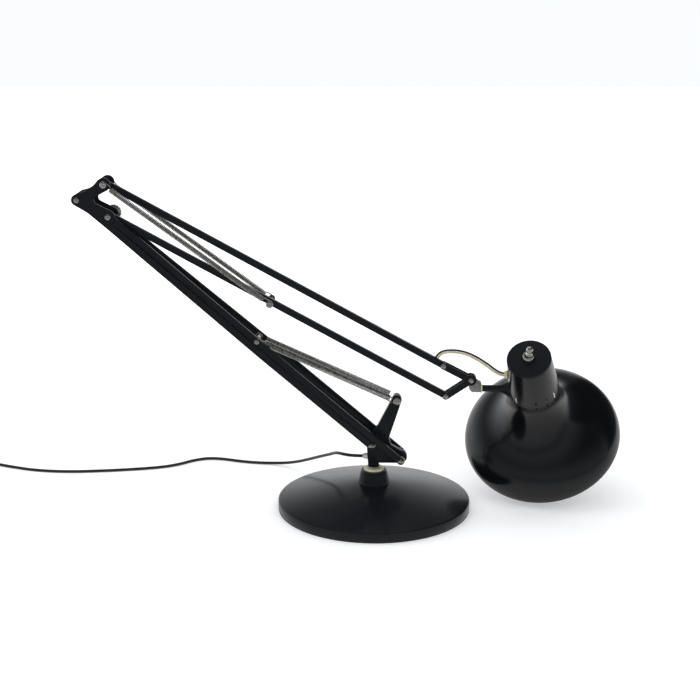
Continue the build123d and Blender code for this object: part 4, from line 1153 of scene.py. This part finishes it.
class LAMP_OT_shade(PieceOperator):
    """Spins the shade from one sheet, with its rolled rim, neck and slots."""

    bl_idname = "lamp.shade"
    bl_label = "Shade"

    def execute(self, context):
        size = settings().head
        outside = self.dome(size, 0) + [
            (size.neck_foot_radius, size.cone_foot),
            (size.neck_top_radius, size.neck_top),
        ]
        inner_top = size.neck_top_radius - size.wall
        inside = [(inner_top, size.neck_top), (size.neck_foot_radius - size.wall, size.cone_foot)]
        inside += self.dome(size, size.wall)[::-1]
        rim = arc((size.shade_radius - size.wall / 2, -size.rim_drop), size.wall / 2, 180, 360, 6)
        profile = outside + inside + rim[1:]
        shell = turned("spun_shade", profile, steps=FINE_TURN_STEPS)
        for n in range(size.vents):
            turn = math.radians(FIRST_SLOT) + FULL_TURN * n / size.vents
            combined(shell, self.slot_cutter(size, turn), "DIFFERENCE")
        combined(shell, self.inlet_cutter(size), "DIFFERENCE")
        smooth(shell, 28)
        self.line_inside(size, shell)
        put(shell, SHADE_PLACE)
        lined = hand_over(shell, finish("shade"), "shade_enamel", "head", "shade")
        lined.data.materials.append(finish("lining"))
        return {"FINISHED"}

    @staticmethod
    def dome(size, inset):
        """Quarter ellipse from the rim, then a wide hollow curve that runs into the neck."""
        radius, height = size.shade_radius - inset, size.dome_height - inset
        foot = size.neck_foot_radius - inset
        last = math.radians(45)
        steps = 26
        stations = []
        for n in range(steps + 1):
            turn = last * n / steps
            stations.append((radius * math.cos(turn), -size.rim_drop + height * math.sin(turn)))
        square = Vector((math.cos(last) / radius, math.sin(last) / height)).normalized()
        flare = (stations[-1][0] - foot) / (1 - square.x)
        centre = (foot + flare, stations[-1][1] + flare * square.y)
        return stations + arc(centre, flare, 180 + math.degrees(math.atan2(square.y, square.x)), 180, 18)[1:]

    @staticmethod
    def slot_cutter(size, turn):
        """Upright slot with round ends, through the neck's wall."""
        height, width, middle, reach = 13 * MM, 2 * MM, 6 * MM, 12 * MM
        bpy.ops.object.select_all(action="DESELECT")
        bpy.ops.mesh.primitive_cylinder_add(
            vertices=16,
            radius=width / 2,
            depth=reach,
            location=(size.neck_foot_radius, 0, middle - (height - width) / 2),
            rotation=(0, math.pi / 2, 0),
        )
        cutter = bpy.context.object
        edit(cutter)
        bpy.ops.mesh.primitive_cylinder_add(
            vertices=16,
            radius=width / 2,
            depth=reach,
            location=(size.neck_foot_radius, 0, middle + (height - width) / 2),
            rotation=(0, math.pi / 2, 0),
        )
        bpy.ops.mesh.select_all(action="SELECT")
        bpy.ops.mesh.convex_hull()
        close_edit()
        return put(cutter, Matrix.Rotation(turn, 4, "Z"))

    @staticmethod
    def inlet_cutter(size):
        """Round hole in the neck's side, for the grommet."""
        radius, reach = 3.8 * MM, 16 * MM
        bpy.ops.object.select_all(action="DESELECT")
        bpy.ops.mesh.primitive_cylinder_add(
            vertices=32,
            radius=radius,
            depth=reach,
            location=(neck_radius(size, GROMMET_HEIGHT), 0, GROMMET_HEIGHT),
            rotation=(0, math.pi / 2, 0),
        )
        return bpy.context.object

    @staticmethod
    def line_inside(size, shell):
        """Marks the faces inside the shade for the white lining."""
        for face in shell.data.polygons:
            point = face.center
            radius = math.hypot(point.x, point.y)
            inward = face.normal.x * point.x + face.normal.y * point.y < 0 or face.normal.z < -0.3
            face.material_index = int(inward and radius > MM and point.z < size.neck_top - 3 * MM)


GROMMET_HEIGHT = 32.6 * MM
FIRST_SLOT = 93


class LAMP_OT_cap(PieceOperator):
    """Spins the cap, the switch's ferrule and ball toggle, and the flex's grommet."""

    bl_idname = "lamp.cap"
    bl_label = "Cap and switch"

    def execute(self, context):
        size = settings().head
        low, thickness, edge = size.neck_top, 4.1 * MM, 1.2 * MM
        step_in, step_up = 0.6 * MM, 0.4 * MM
        top = low + thickness
        radius = size.neck_top_radius
        bore = 5.2 * MM
        profile = [(bore, low), (radius - step_in, low), (radius - step_in, low + step_up)]
        profile += [(radius, low + step_up)]
        profile += arc((radius - edge, top - edge), edge, 0, 90) + [(bore, top), (bore, low)]
        cap = smooth(turned("neck_cap", profile, SHADE_PLACE, FINE_TURN_STEPS), 30)
        hand_over(cap, finish("cap"), "cap_enamel", "head", "shade_cap")
        self.ferrule(top)
        self.toggle(top)
        self.grommet(size)
        return {"FINISHED"}

    @staticmethod
    def ferrule(top):
        """Chromed bell that holds the switch in the cap."""
        radius, mouth, bore, height = 7.2 * MM, 4.2 * MM, 3.2 * MM, 6.5 * MM
        profile = [(bore, top), (radius - 0.3 * MM, top), (radius, top + 0.3 * MM)]
        steps = 9
        for n in range(steps + 1):
            share = n / steps
            bell = radius - (radius - mouth - 0.8 * MM) * share**1.6
            profile.append((bell, top + 1.4 * MM + (height - 1.8 * MM) * math.sin(share * math.pi / 2)))
        profile += [(mouth + 0.4 * MM, top + height), (mouth, top + height - 0.3 * MM)]
        profile += [(bore, top + 2 * MM), (bore, top)]
        ferrule = smooth(turned("switch_collar", profile, SHADE_PLACE, 64), 35)
        hand_over(ferrule, finish("chrome"), "switch_chrome", "head", "switch_ferrule")

    @staticmethod
    def toggle(top):
        """Ball-ended toggle, with a small skirt over the bell's mouth."""
        pivot_height, reach, ball, stem = top - MM, 16.0 * MM, 3.9 * MM, 1.3 * MM
        lean = Matrix.Rotation(math.radians(-8), 4, "Y")
        place = SHADE_PLACE @ Matrix.Translation((0, 0, pivot_height)) @ lean
        join = math.degrees(math.acos(1.9 * MM / ball))
        profile = arc((0, 0), 2.3 * MM, -90, 40, 8)
        profile[0] = (0, profile[0][1])
        profile += [(stem, 3.4 * MM), (stem, 8.4 * MM), (3.9 * MM, 8.4 * MM), (4.1 * MM, 8.7 * MM)]
        profile += [(3.6 * MM, 9.4 * MM), (2.6 * MM, 10.6 * MM), (2.0 * MM, 12.0 * MM)]
        profile += arc((0, reach), ball, -join, 90, 14)
        profile[-1] = (0, profile[-1][1])
        toggle = smooth(turned("ball_toggle", profile, place, 48), 50)
        hand_over(toggle, finish("chrome"), "switch_chrome", "toggle", "switch_toggle")

    @staticmethod
    def grommet(size):
        """Pale grommet in the neck's side, round the flex."""
        seat = neck_radius(size, GROMMET_HEIGHT)
        outer, barrel, bore, proud = 4.6 * MM, 3.75 * MM, 2.9 * MM, 3.5 * MM
        profile = [(bore, seat - 3.2 * MM), (barrel, seat - 3.2 * MM), (barrel, seat - 0.2 * MM)]
        profile += [(outer, seat + 0.2 * MM)]
        profile += arc((outer - 1.2 * MM, seat + proud - 1.2 * MM), 1.2 * MM, 0, 90, 5)
        profile += [(bore + 0.2 * MM, seat + proud), (bore, seat + proud - 0.3 * MM), (bore, seat - 3.2 * MM)]
        side = Matrix.Rotation(math.pi / 2, 4, "Y")
        place = SHADE_PLACE @ Matrix.Translation((0, 0, GROMMET_HEIGHT)) @ side
        grommet = smooth(turned("flex_grommet", profile, place, 48), 40)
        hand_over(grommet, finish("pale_strand"), "pale_sheath", "head", "neck_grommet")


class LAMP_OT_bulb(PieceOperator):
    """Spins the lampholder, and the lamp with its screw cap."""

    bl_idname = "lamp.bulb"
    bl_label = "Lampholder and lamp"

    def execute(self, context):
        size = settings().head
        top, length, radius, wall = 24 * MM, 54 * MM, 17.5 * MM, 2.2 * MM
        low = top - length
        bore_top = low + 24 * MM
        flange = neck_radius(size, top) - size.wall - 0.1 * MM
        profile = [(0, top), (flange, top), (flange, top - 3 * MM), (radius, top - 3 * MM)]
        rib_height, rib_depth = 4 * MM, 0.7 * MM
        for n in range(5):
            z = top - 12 * MM - n * 2 * rib_height
            profile += [(radius, z), (radius - rib_depth, z - rib_depth)]
            profile += [(radius - rib_depth, z - rib_height + rib_depth), (radius, z - rib_height)]
        edge = 1.0 * MM
        profile += arc((radius - edge, low + edge), edge, 0, -90, 4)
        profile += [(radius - wall, low), (radius - wall, bore_top), (0, bore_top)]
        holder = smooth(turned("lampholder_body", profile, SHADE_PLACE, 64), 30)
        hand_over(holder, finish("bakelite"), "switch_moulding", "head", "lampholder")

        contact = bore_top - 0.05 * MM
        cap_low = contact - 24 * MM
        globe_radius = 22 * MM
        globe = contact - 76 * MM + globe_radius
        neck = 12.6 * MM
        profile = [(0, cap_low), (neck, cap_low)]
        swell = globe_radius - neck
        shoulder = [neck + swell * (0.5 - 0.5 * math.cos(math.pi * n / 8)) for n in range(1, 8)]
        profile += [(r, cap_low + (globe - cap_low) * (n + 1) / 8) for n, r in enumerate(shoulder)]
        profile += arc((0, globe), globe_radius, 0, -90, 16)
        profile[-1] = (0, profile[-1][1])
        glass = smooth(turned("lamp_globe", profile, SHADE_PLACE, 64), 60)
        hand_over(glass, finish("glass"), "lamp_glass", "head", "bulb_glass")
        return {"FINISHED"}


# ---------------------------------------------------------------- operators: springs
def spring_points(start, end, turns, radius, hand):
    """Control points of a tension spring: a hook, close turns and the other hook."""
    along = (end - start).normalized()
    over = Vector((-along.z, 0, along.x))
    side = Vector((0, hand, 0))
    loop, hook = 3.45 * MM, 9 * MM
    length = (end - start).length

    def round_pin(centre, way, first, last, count):
        spots = []
        for n in range(count + 1):
            angle = math.radians(first + (last - first) * n / count)
            spots.append(centre + (over * math.cos(angle) + way * math.sin(angle)) * loop)
        return spots

    points = round_pin(start, along, -285, 0, 12)
    points.append(start + over * loop + along * (hook - 4.5 * MM))
    per_turn = 10
    count = turns * per_turn
    for n in range(count + 1):
        angle = FULL_TURN * n / per_turn
        spot = start + along * (hook + (length - 2 * hook) * n / count)
        points.append(spot + (over * math.cos(angle) + side * math.sin(angle)) * radius)
    points.append(end + over * loop - along * (hook - 4.5 * MM))
    points += round_pin(end, along, 0, 285, 12)
    return points


class LAMP_OT_springs(PieceOperator):
    """Winds the four balance springs turn by turn, with their hooks."""

    bl_idname = "lamp.springs"
    bl_label = "Springs"

    def execute(self, context):
        size = settings().arm
        # name, both pins, offset from the middle, radius, turns, and the length kept at the joint's limit
        lower = ("lower", SPRING_POST, LOWER_SPRING_PIN, 9.3 * MM, size.lower_coil, size.lower_turns, 0.915)
        upper = ("upper", UPPER_ELBOW, UPPER_SPRING_PIN, 15 * MM, size.upper_coil, size.upper_turns, 0.752)
        for name, a, b, offset, radius, turns, keep in (lower, upper):
            for side, hand in (("near", -1), ("far", 1)):
                start = Vector((a.x, hand * offset, a.z))
                end = Vector((b.x, hand * offset, b.z))
                points = spring_points(start, end, turns, radius, hand)
                coil = wire_piece(f"{name}_coil_{side}", points, size.wire, sides=2, steps=1)
                coil = as_mesh(coil)
                hand_over(coil, finish("wire"), "spring_steel", f"{name}_springs", f"{name}_spring_{side}")
                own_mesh(coil)
        return {"FINISHED"}


# ---------------------------------------------------------------- operators: flex and lead
# middle of the two-strand flex from the top bar to the neck, measured from the top bar's end pivot
FLEX_ROUTE = [
    (-0.00879, 0.0, 0.00642),
    (-0.00559, -0.0003, 0.01212),
    (-0.00019, -0.0013, 0.01572),
    (0.00811, -0.0028, 0.01722),
    (0.01861, -0.0052, 0.01702),
    (0.02911, -0.0082, 0.01442),
    (0.03861, -0.0110, 0.01002),
    (0.04761, -0.0136, 0.00462),
    (0.05561, -0.0156, -0.00118),
    (0.06281, -0.0166, -0.00528),
    (0.06901, -0.0173, -0.00598),
]

# middle of the mains lead from its bush to the coil, as in the parts
MAINS_ROUTE = [
    (-0.0130, 0.0, 0.0620),
    (-0.0250, 0.0, 0.0620),
    (-0.0360, 0.0050, 0.0622),
    (-0.0425, 0.0165, 0.0598),
    (-0.0468, 0.0335, 0.0536),
    (-0.0525, 0.0540, 0.0450),
    (-0.0615, 0.0725, 0.0366),
    (-0.0715, 0.0910, 0.0278),
    (-0.0830, 0.1085, 0.0188),
    (-0.0965, 0.1240, 0.0104),
    (-0.1125, 0.1360, 0.0044),
    (-0.1310, 0.1424, 0.0019),
    (-0.1515, 0.1440, 0.0018),
    (-0.1720, 0.1490, 0.0019),
    (-0.1915, 0.1568, 0.0018),
    (-0.2115, 0.1594, 0.0019),
    (-0.2295, 0.1506, 0.0018),
    (-0.2445, 0.1356, 0.0019),
    (-0.2635, 0.1246, 0.0018),
    (-0.2920, 0.1166, 0.0019),
    (-0.3310, 0.1092, 0.0018),
    (-0.3770, 0.1036, 0.0019),
    (-0.4190, 0.1076, 0.0018),
    (-0.4540, 0.1202, 0.0019),
]
COIL_CENTRE = Vector((-0.5104, 0.1165, 0))
COIL_START = 67.0
COIL_TURNS = 9
COIL_LAYERS = 4
COIL_MID_RADIUS = 0.0215
COIL_PITCH = 0.0041
COIL_TAIL = 0.018
COIL_APPROACH = 0.020
COIL_POINTS_PER_TURN = 16


def flex_strand(side, split):
    """Route of one strand, above or below the flex's middle."""
    route = [TOP_BAR_END + Vector(point) for point in FLEX_ROUTE]
    strand = []
    for n, point in enumerate(route):
        way = route[min(n + 1, len(route) - 1)] - route[max(n - 1, 0)]
        up = Vector((-way.z, 0, way.x)).normalized()
        strand.append(point + up * side * split)
    return strand


class LAMP_OT_head_flex(PieceOperator):
    """Lays the two strands from the top bar to the neck, cut into three stretches near the joints."""

    bl_idname = "lamp.head_flex"
    bl_label = "Flex to the shade"

    def execute(self, context):
        size = settings().cord
        fork, hinge = TOP_BAR_END.x, HEAD_PIVOT.x
        first_cut, second_cut = fork + 11.1 * MM, hinge + 3.4 * MM
        # name, the two bodies that it bends between, start and end of the bend, and where it is cut
        stretches = (
            ("back", "top_arm", "head_plates", fork - 7.4 * MM, fork + 6.6 * MM, None, first_cut),
            ("middle", "head_plates", "knuckle", first_cut, hinge - 0.6 * MM, first_cut, second_cut),
            ("front", "knuckle", "head", second_cut, hinge + 29.4 * MM, second_cut, None),
        )
        for colour, side, node in (("dark", 1, "head_flex_dark"), ("pale", -1, "head_flex_pale")):
            points = flex_strand(side, size.strand_split)
            for label, body_a, body_b, start, end, cut_low, cut_high in stretches:
                name = f"{colour}_strand_{label}"
                strand = as_mesh(wire_piece(name, points, size.strand_diameter, sides=4, steps=12))
                edit(strand)
                for cut, keep_above in ((cut_low, True), (cut_high, False)):
                    if cut is not None:
                        bpy.ops.mesh.select_all(action="SELECT")
                        bpy.ops.mesh.bisect(
                            plane_co=(cut, 0, 0),
                            plane_no=(1, 0, 0),
                            clear_inner=keep_above,
                            clear_outer=not keep_above,
                            use_fill=True,
                        )
                close_edit()
                smooth(strand, 60)
                hand_over(
                    strand,
                    finish(f"{colour}_strand"),
                    "cord_sheath" if colour == "dark" else "pale_sheath",
                    None,
                    node,
                )
                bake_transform(strand)
        return {"FINISHED"}


def coil_point(turns):
    """Middle of the lead after some turns: it spirals in and out, and climbs a layer at each reversal."""
    per_layer = COIL_TURNS / COIL_LAYERS
    layer = min(int(turns / per_layer), COIL_LAYERS - 1)
    done = turns / per_layer - layer
    drawn = done if layer % 2 == 0 else 1 - done
    radius = COIL_MID_RADIUS + COIL_PITCH * per_layer * (0.5 - drawn)
    nearest = max(1, min(COIL_LAYERS - 1, round(turns / per_layer)))
    climb = min(1, max(0, (turns - nearest * per_layer + 0.25) / 0.5))
    level = nearest - 1 + climb * climb * (3 - 2 * climb)
    angle = math.radians(COIL_START + 360 * turns)
    height = settings().cord.lead_diameter / 2 + COIL_PITCH * level
    return COIL_CENTRE + Vector((radius * math.cos(angle), radius * math.sin(angle), height))


def level_way(first, second):
    """Direction between two points, kept level."""
    way = second - first
    return Vector((way.x, way.y, 0)).normalized()


def lead_points():
    """Control points of the whole lead, and its end with the direction there."""
    entry = coil_point(0)
    entry_way = level_way(entry, coil_point(0.002))
    joint = entry - entry_way * settings().cord.lead_diameter
    approach = joint - entry_way * COIL_APPROACH
    points = [Vector(point) for point in MAINS_ROUTE] + [approach, joint]
    steps = COIL_TURNS * COIL_POINTS_PER_TURN
    points += [coil_point(n / COIL_POINTS_PER_TURN) for n in range(steps + 1)]
    leave = points[-1]
    leave_way = level_way(coil_point(COIL_TURNS - 0.002), leave)
    tail = leave + leave_way * COIL_TAIL
    points += [leave + leave_way * COIL_TAIL / 2, tail]
    return points, tail, leave_way


class LAMP_OT_mains_lead(PieceOperator):
    """Lays the mains lead as one curve, with its coil, tie and plug."""

    bl_idname = "lamp.mains_lead"
    bl_label = "Mains lead"

    def execute(self, context):
        size = settings().cord
        points, tail, way = lead_points()
        lead = wire_piece("mains_lead", points, size.lead_diameter, sides=5, steps=6)
        hand_over(lead, finish("lead"), "cord_sheath", "swivel", "mains_cord", "cord_coil")
        tie = softened(merged_copy("cord_tie", "lead_tie"), 0.3 * MM, 2)
        hand_over(tie, finish("lead"), "plug_plastic", "swivel", "cord_tie")
        plug, pins = self.plug(tail, way)
        return {"FINISHED"}

    @staticmethod
    def plug(tail, way):
        """Round two-pin plug with a ribbed sleeve where the lead goes in."""
        side = Vector((0, 0, 1))
        place = Matrix.Translation(tail) @ Matrix((side, way.cross(side), way)).transposed().to_4x4()
        sleeve, sleeve_radius, body_length, flare = 20 * MM, 2.9 * MM, 26 * MM, 1.6 * MM
        shoulder = sleeve_radius + 3.6 * MM
        radius = tail.z
        profile = [(0, 0), (sleeve_radius - 0.4 * MM, 0), (sleeve_radius, 0.4 * MM)]
        ribs = 6
        for n in range(ribs):
            at = (n + 0.6) * sleeve / (ribs + 0.4)
            wide = sleeve_radius + flare * at / sleeve
            profile += [(wide, at), (wide - 0.5 * MM, at + 0.4 * MM)]
            profile += [(wide - 0.5 * MM, at + 1.3 * MM), (wide + 0.1 * MM, at + 1.7 * MM)]
        profile += [(sleeve_radius + flare, sleeve), (shoulder, sleeve + 0.3 * MM)]
        middle = radius - shoulder
        profile += [
            (
                shoulder + middle * math.sin(math.radians(a)),
                sleeve + 13 * MM - 12.7 * MM * math.cos(math.radians(a)),
            )
            for a in (15, 30, 45, 60, 75, 90)
        ]
        end = sleeve + body_length
        profile += arc((radius - 1.2 * MM, end - 1.2 * MM), 1.2 * MM, 0, 90, 4) + [(0, end)]
        plug = turned("plug_shell", profile, place, 64)
        smooth(plug, 35)
        hand_over(plug, finish("bakelite"), "plug_plastic", "swivel", "plug_body")
        pins = softened(merged_copy("plug_pins", "plug_prongs"), 0.2 * MM, 2)
        hand_over(pins, finish("washer"), "plug_brass", "swivel", "plug_pins")
        return plug, pins


class LAMP_OT_finishes(PieceOperator):
    """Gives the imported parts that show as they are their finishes."""

    bl_idname = "lamp.finishes"
    bl_label = "Other finishes"

    def execute(self, context):
        plain = {
            "felt": ("base_felt",),
            "iron": ("base_weight",),
            "zinc": ("swivel_spindle", "spindle_nut"),
            "blackened": ("bracket_spacers", "elbow_spacers"),
            "nickel": ("knob_washer",),
            "bakelite": ("switch_body",),
            "aluminium": ("bulb_cap",),
        }
        for name, nodes in plain.items():
            for node in nodes:
                part = frame["nodes"][node]
                part.data.materials.clear()
                part.data.materials.append(finish(name))
        return {"FINISHED"}


# ---------------------------------------------------------------- operator: studio
CAMERA_PLACE = (0.01157, -1.49162, 0.57877)
CAMERA_PITCH = 14.71
CAMERA_YAW = 1.5
CAMERA_LENS = 70.70
CAMERA_SENSOR = 36.0
FLOOR_SIDE = 14

# ranges of light: the strength at the start and at the end, then where these lie
FLOOR_LIFT = (0.26, 1.0, 0.3, 2.2)  # added for the camera, by the distance from the lamp in metres
FLOOR_IN_METAL = (0.22, 0.9, -0.4, 0.3)  # by the floor's Y in metres
# the others are what metal mirrors, by the mirrored ray's direction
FRONT_TO_BACK = (0.32, 1.0, -0.30, 0.50)
SIDE_TO_OVERHEAD = (1.0, 0.12, 0.16, 0.60)
OVERHEAD_TO_TOP = (0.0, 0.45, 0.72, 0.92)
# the black flag on the right: where each soft edge starts and ends
FLAG_LEFT_EDGE = (0.28, 0.36)
FLAG_FRONT_EDGE = (-0.18, -0.08)
FLAG_LOWER_EDGE = (0.02, 0.12)
FLAG_STRENGTH = 0.05
WORLD_ON_LAMP = 0.6
COOL_WHITE = (0.96, 0.98, 1, 1)

# name, place, what it is aimed at, side in metres and power in watts
SOFT_BOXES = (
    ("overhead", (-0.1, 0.7, 1.9), (0, 0, 0.1), 1.8, 10),
    ("left_box", (-1.7, 0.1, 1.0), (0, 0, 0.2), 1.2, 7),
    ("right_box", (1.6, 0.9, 1.2), (0, 0, 0.2), 1.0, 5),
    ("front_fill", (0.2, -2.2, 1.3), (0, 0, 0.2), 2.0, 14),
)


class LAMP_OT_studio(PieceOperator):
    """Sets up the pale floor, the surroundings, the soft lights and the camera."""

    bl_idname = "lamp.studio"
    bl_label = "Studio"

    def execute(self, context):
        self.floor()
        self.surroundings()
        self.lights()
        self.camera()
        bpy.context.scene.view_settings.view_transform = "Standard"
        return {"FINISHED"}

    @staticmethod
    def floor():
        """Pale floor that runs into the white behind it and keeps the lamp's shadow."""
        bpy.ops.object.select_all(action="DESELECT")
        bpy.ops.mesh.primitive_plane_add(size=FLOOR_SIDE, location=(0, 0, 0))
        floor = bpy.context.object
        floor.name = "studio_floor"
        material, tree, shader = new_material("pale_floor", linear("F2F2F3"), Roughness=0.8)
        shader.inputs["Specular IOR Level"].default_value = 0.0
        place = object_coordinates(tree)
        distance = add(tree, "ShaderNodeVectorMath", {"operation": "LENGTH"}, {0: place}).outputs["Value"]
        lift = ranged(tree, distance, *FLOOR_LIFT)
        glow = add(tree, "ShaderNodeEmission", links={"Strength": lift})
        lit = {0: shader.outputs["BSDF"], 1: glow.outputs["Emission"]}
        lifted = add(tree, "ShaderNodeAddShader", {}, lit)
        depth = add(tree, "ShaderNodeSeparateXYZ", links={"Vector": place}).outputs["Y"]
        fading = ranged(tree, depth, *FLOOR_IN_METAL)
        mirrored = add(tree, "ShaderNodeEmission", links={"Strength": fading})
        path = add(tree, "ShaderNodeLightPath").outputs
        in_metal = add(
            tree,
            "ShaderNodeMixShader",
            {},
            {"Fac": path["Is Glossy Ray"], 1: shader.outputs["BSDF"], 2: mirrored.outputs["Emission"]},
        )
        shown = add(
            tree,
            "ShaderNodeMixShader",
            {},
            {"Fac": path["Is Camera Ray"], 1: in_metal.outputs["Shader"], 2: lifted.outputs["Shader"]},
        )
        tree.links.new(shown.outputs["Shader"], tree.nodes["Material Output"].inputs["Surface"])
        floor.data.materials.append(material)

    @staticmethod
    def surroundings():
        """White surroundings, which a mirror sees dim in front and overhead, and black on the right."""
        world = bpy.data.worlds.new("studio")
        bpy.context.scene.world = world
        world.use_nodes = True
        tree = world.node_tree
        tree.nodes.clear()
        path = add(tree, "ShaderNodeLightPath").outputs
        way = add(tree, "ShaderNodeTexCoord").outputs["Generated"]
        way = add(tree, "ShaderNodeSeparateXYZ", links={"Vector": way}).outputs
        behind = ranged(tree, way["Y"], *FRONT_TO_BACK)
        overhead = ranged(tree, way["Z"], *SIDE_TO_OVERHEAD)
        above = ranged(tree, way["Z"], *OVERHEAD_TO_TOP)
        overhead = combine_values(tree, "ADD", overhead, above)
        flag = ranged(tree, way["X"], 0.0, 1.0, *FLAG_LEFT_EDGE)
        for axis, edge in (("Y", FLAG_FRONT_EDGE), ("Z", FLAG_LOWER_EDGE)):
            inside = ranged(tree, way[axis], 0.0, 1.0, *edge)
            flag = combine_values(tree, "MULTIPLY", flag, inside)
        mirrored = combine_values(tree, "MULTIPLY", behind, overhead)
        mirrored = combine_values(tree, "MULTIPLY", mirrored, ranged(tree, flag, 1.0, FLAG_STRENGTH))
        unseen = add(
            tree,
            "ShaderNodeMapRange",
            {"To Min": WORLD_ON_LAMP},
            {"Value": path["Is Glossy Ray"], "To Max": mirrored},
        )
        seen = combine_values(tree, "MAXIMUM", path["Is Camera Ray"], path["Is Transmission Ray"])
        strength = add(
            tree,
            "ShaderNodeMapRange",
            {"To Max": 1.0},
            {"Value": seen, "To Min": unseen.outputs["Result"]},
        )
        light = add(
            tree, "ShaderNodeBackground", {"Color": COOL_WHITE}, {"Strength": strength.outputs["Result"]}
        )
        add(tree, "ShaderNodeOutputWorld", links={"Surface": light.outputs["Background"]})

    @staticmethod
    def lights():
        """Soft boxes above, at both sides and in front, which no mirror shows."""
        for name, place, target, size, power in SOFT_BOXES:
            lamp = bpy.data.lights.new(name, "AREA")
            lamp.size = size
            lamp.energy = power
            holder = bpy.data.objects.new(name, lamp)
            holder.location = place
            aim = Vector(target) - Vector(place)
            holder.rotation_euler = aim.to_track_quat("-Z", "Y").to_euler()
            holder.visible_glossy = False
            bpy.context.scene.collection.objects.link(holder)

    @staticmethod
    def camera():
        lens = bpy.data.cameras.new("photo_camera")
        lens.lens = CAMERA_LENS
        lens.sensor_width = CAMERA_SENSOR
        lens.clip_start = 0.01
        lens.clip_end = 50
        camera = bpy.data.objects.new("photo_camera", lens)
        camera.location = CAMERA_PLACE
        camera.rotation_euler = (math.radians(90 - CAMERA_PITCH), 0, math.radians(CAMERA_YAW))
        bpy.context.scene.collection.objects.link(camera)
        bpy.context.scene.camera = camera


# ---------------------------------------------------------------- panel and registration
STEPS = (
    LAMP_OT_base,
    LAMP_OT_hub,
    LAMP_OT_bracket,
    LAMP_OT_rivets,
    LAMP_OT_lower_bars,
    LAMP_OT_upper_bars,
    LAMP_OT_elbow,
    LAMP_OT_head_plates,
    LAMP_OT_knuckle,
    LAMP_OT_shade,
    LAMP_OT_cap,
    LAMP_OT_bulb,
    LAMP_OT_springs,
    LAMP_OT_head_flex,
    LAMP_OT_mains_lead,
    LAMP_OT_finishes,
    LAMP_OT_studio,
)


class LAMP_PT_panel(bpy.types.Panel):
    """Lists the lamp's pieces in the order in which they are made."""

    bl_idname = "LAMP_PT_panel"
    bl_label = "Desk Lamp"
    bl_space_type = "VIEW_3D"
    bl_region_type = "UI"
    bl_category = "Lamp"

    def draw(self, context):
        for step in STEPS:
            self.layout.operator(step.bl_idname)


CLASSES = (BaseSizes, ArmSizes, HeadSizes, CordSizes, LampColours, LampSettings, *STEPS, LAMP_PT_panel)


def register():
    for cls in CLASSES:
        bpy.utils.register_class(cls)
    bpy.types.Scene.lamp = PointerProperty(type=LampSettings)


def unregister():
    del bpy.types.Scene.lamp
    for cls in reversed(CLASSES):
        bpy.utils.unregister_class(cls)


def main():
    """Makes every piece in order."""
    register()
    for step in STEPS:
        group, name = step.bl_idname.split(".")
        getattr(getattr(bpy.ops, group), name)()


if __name__ == "__main__":
    main()
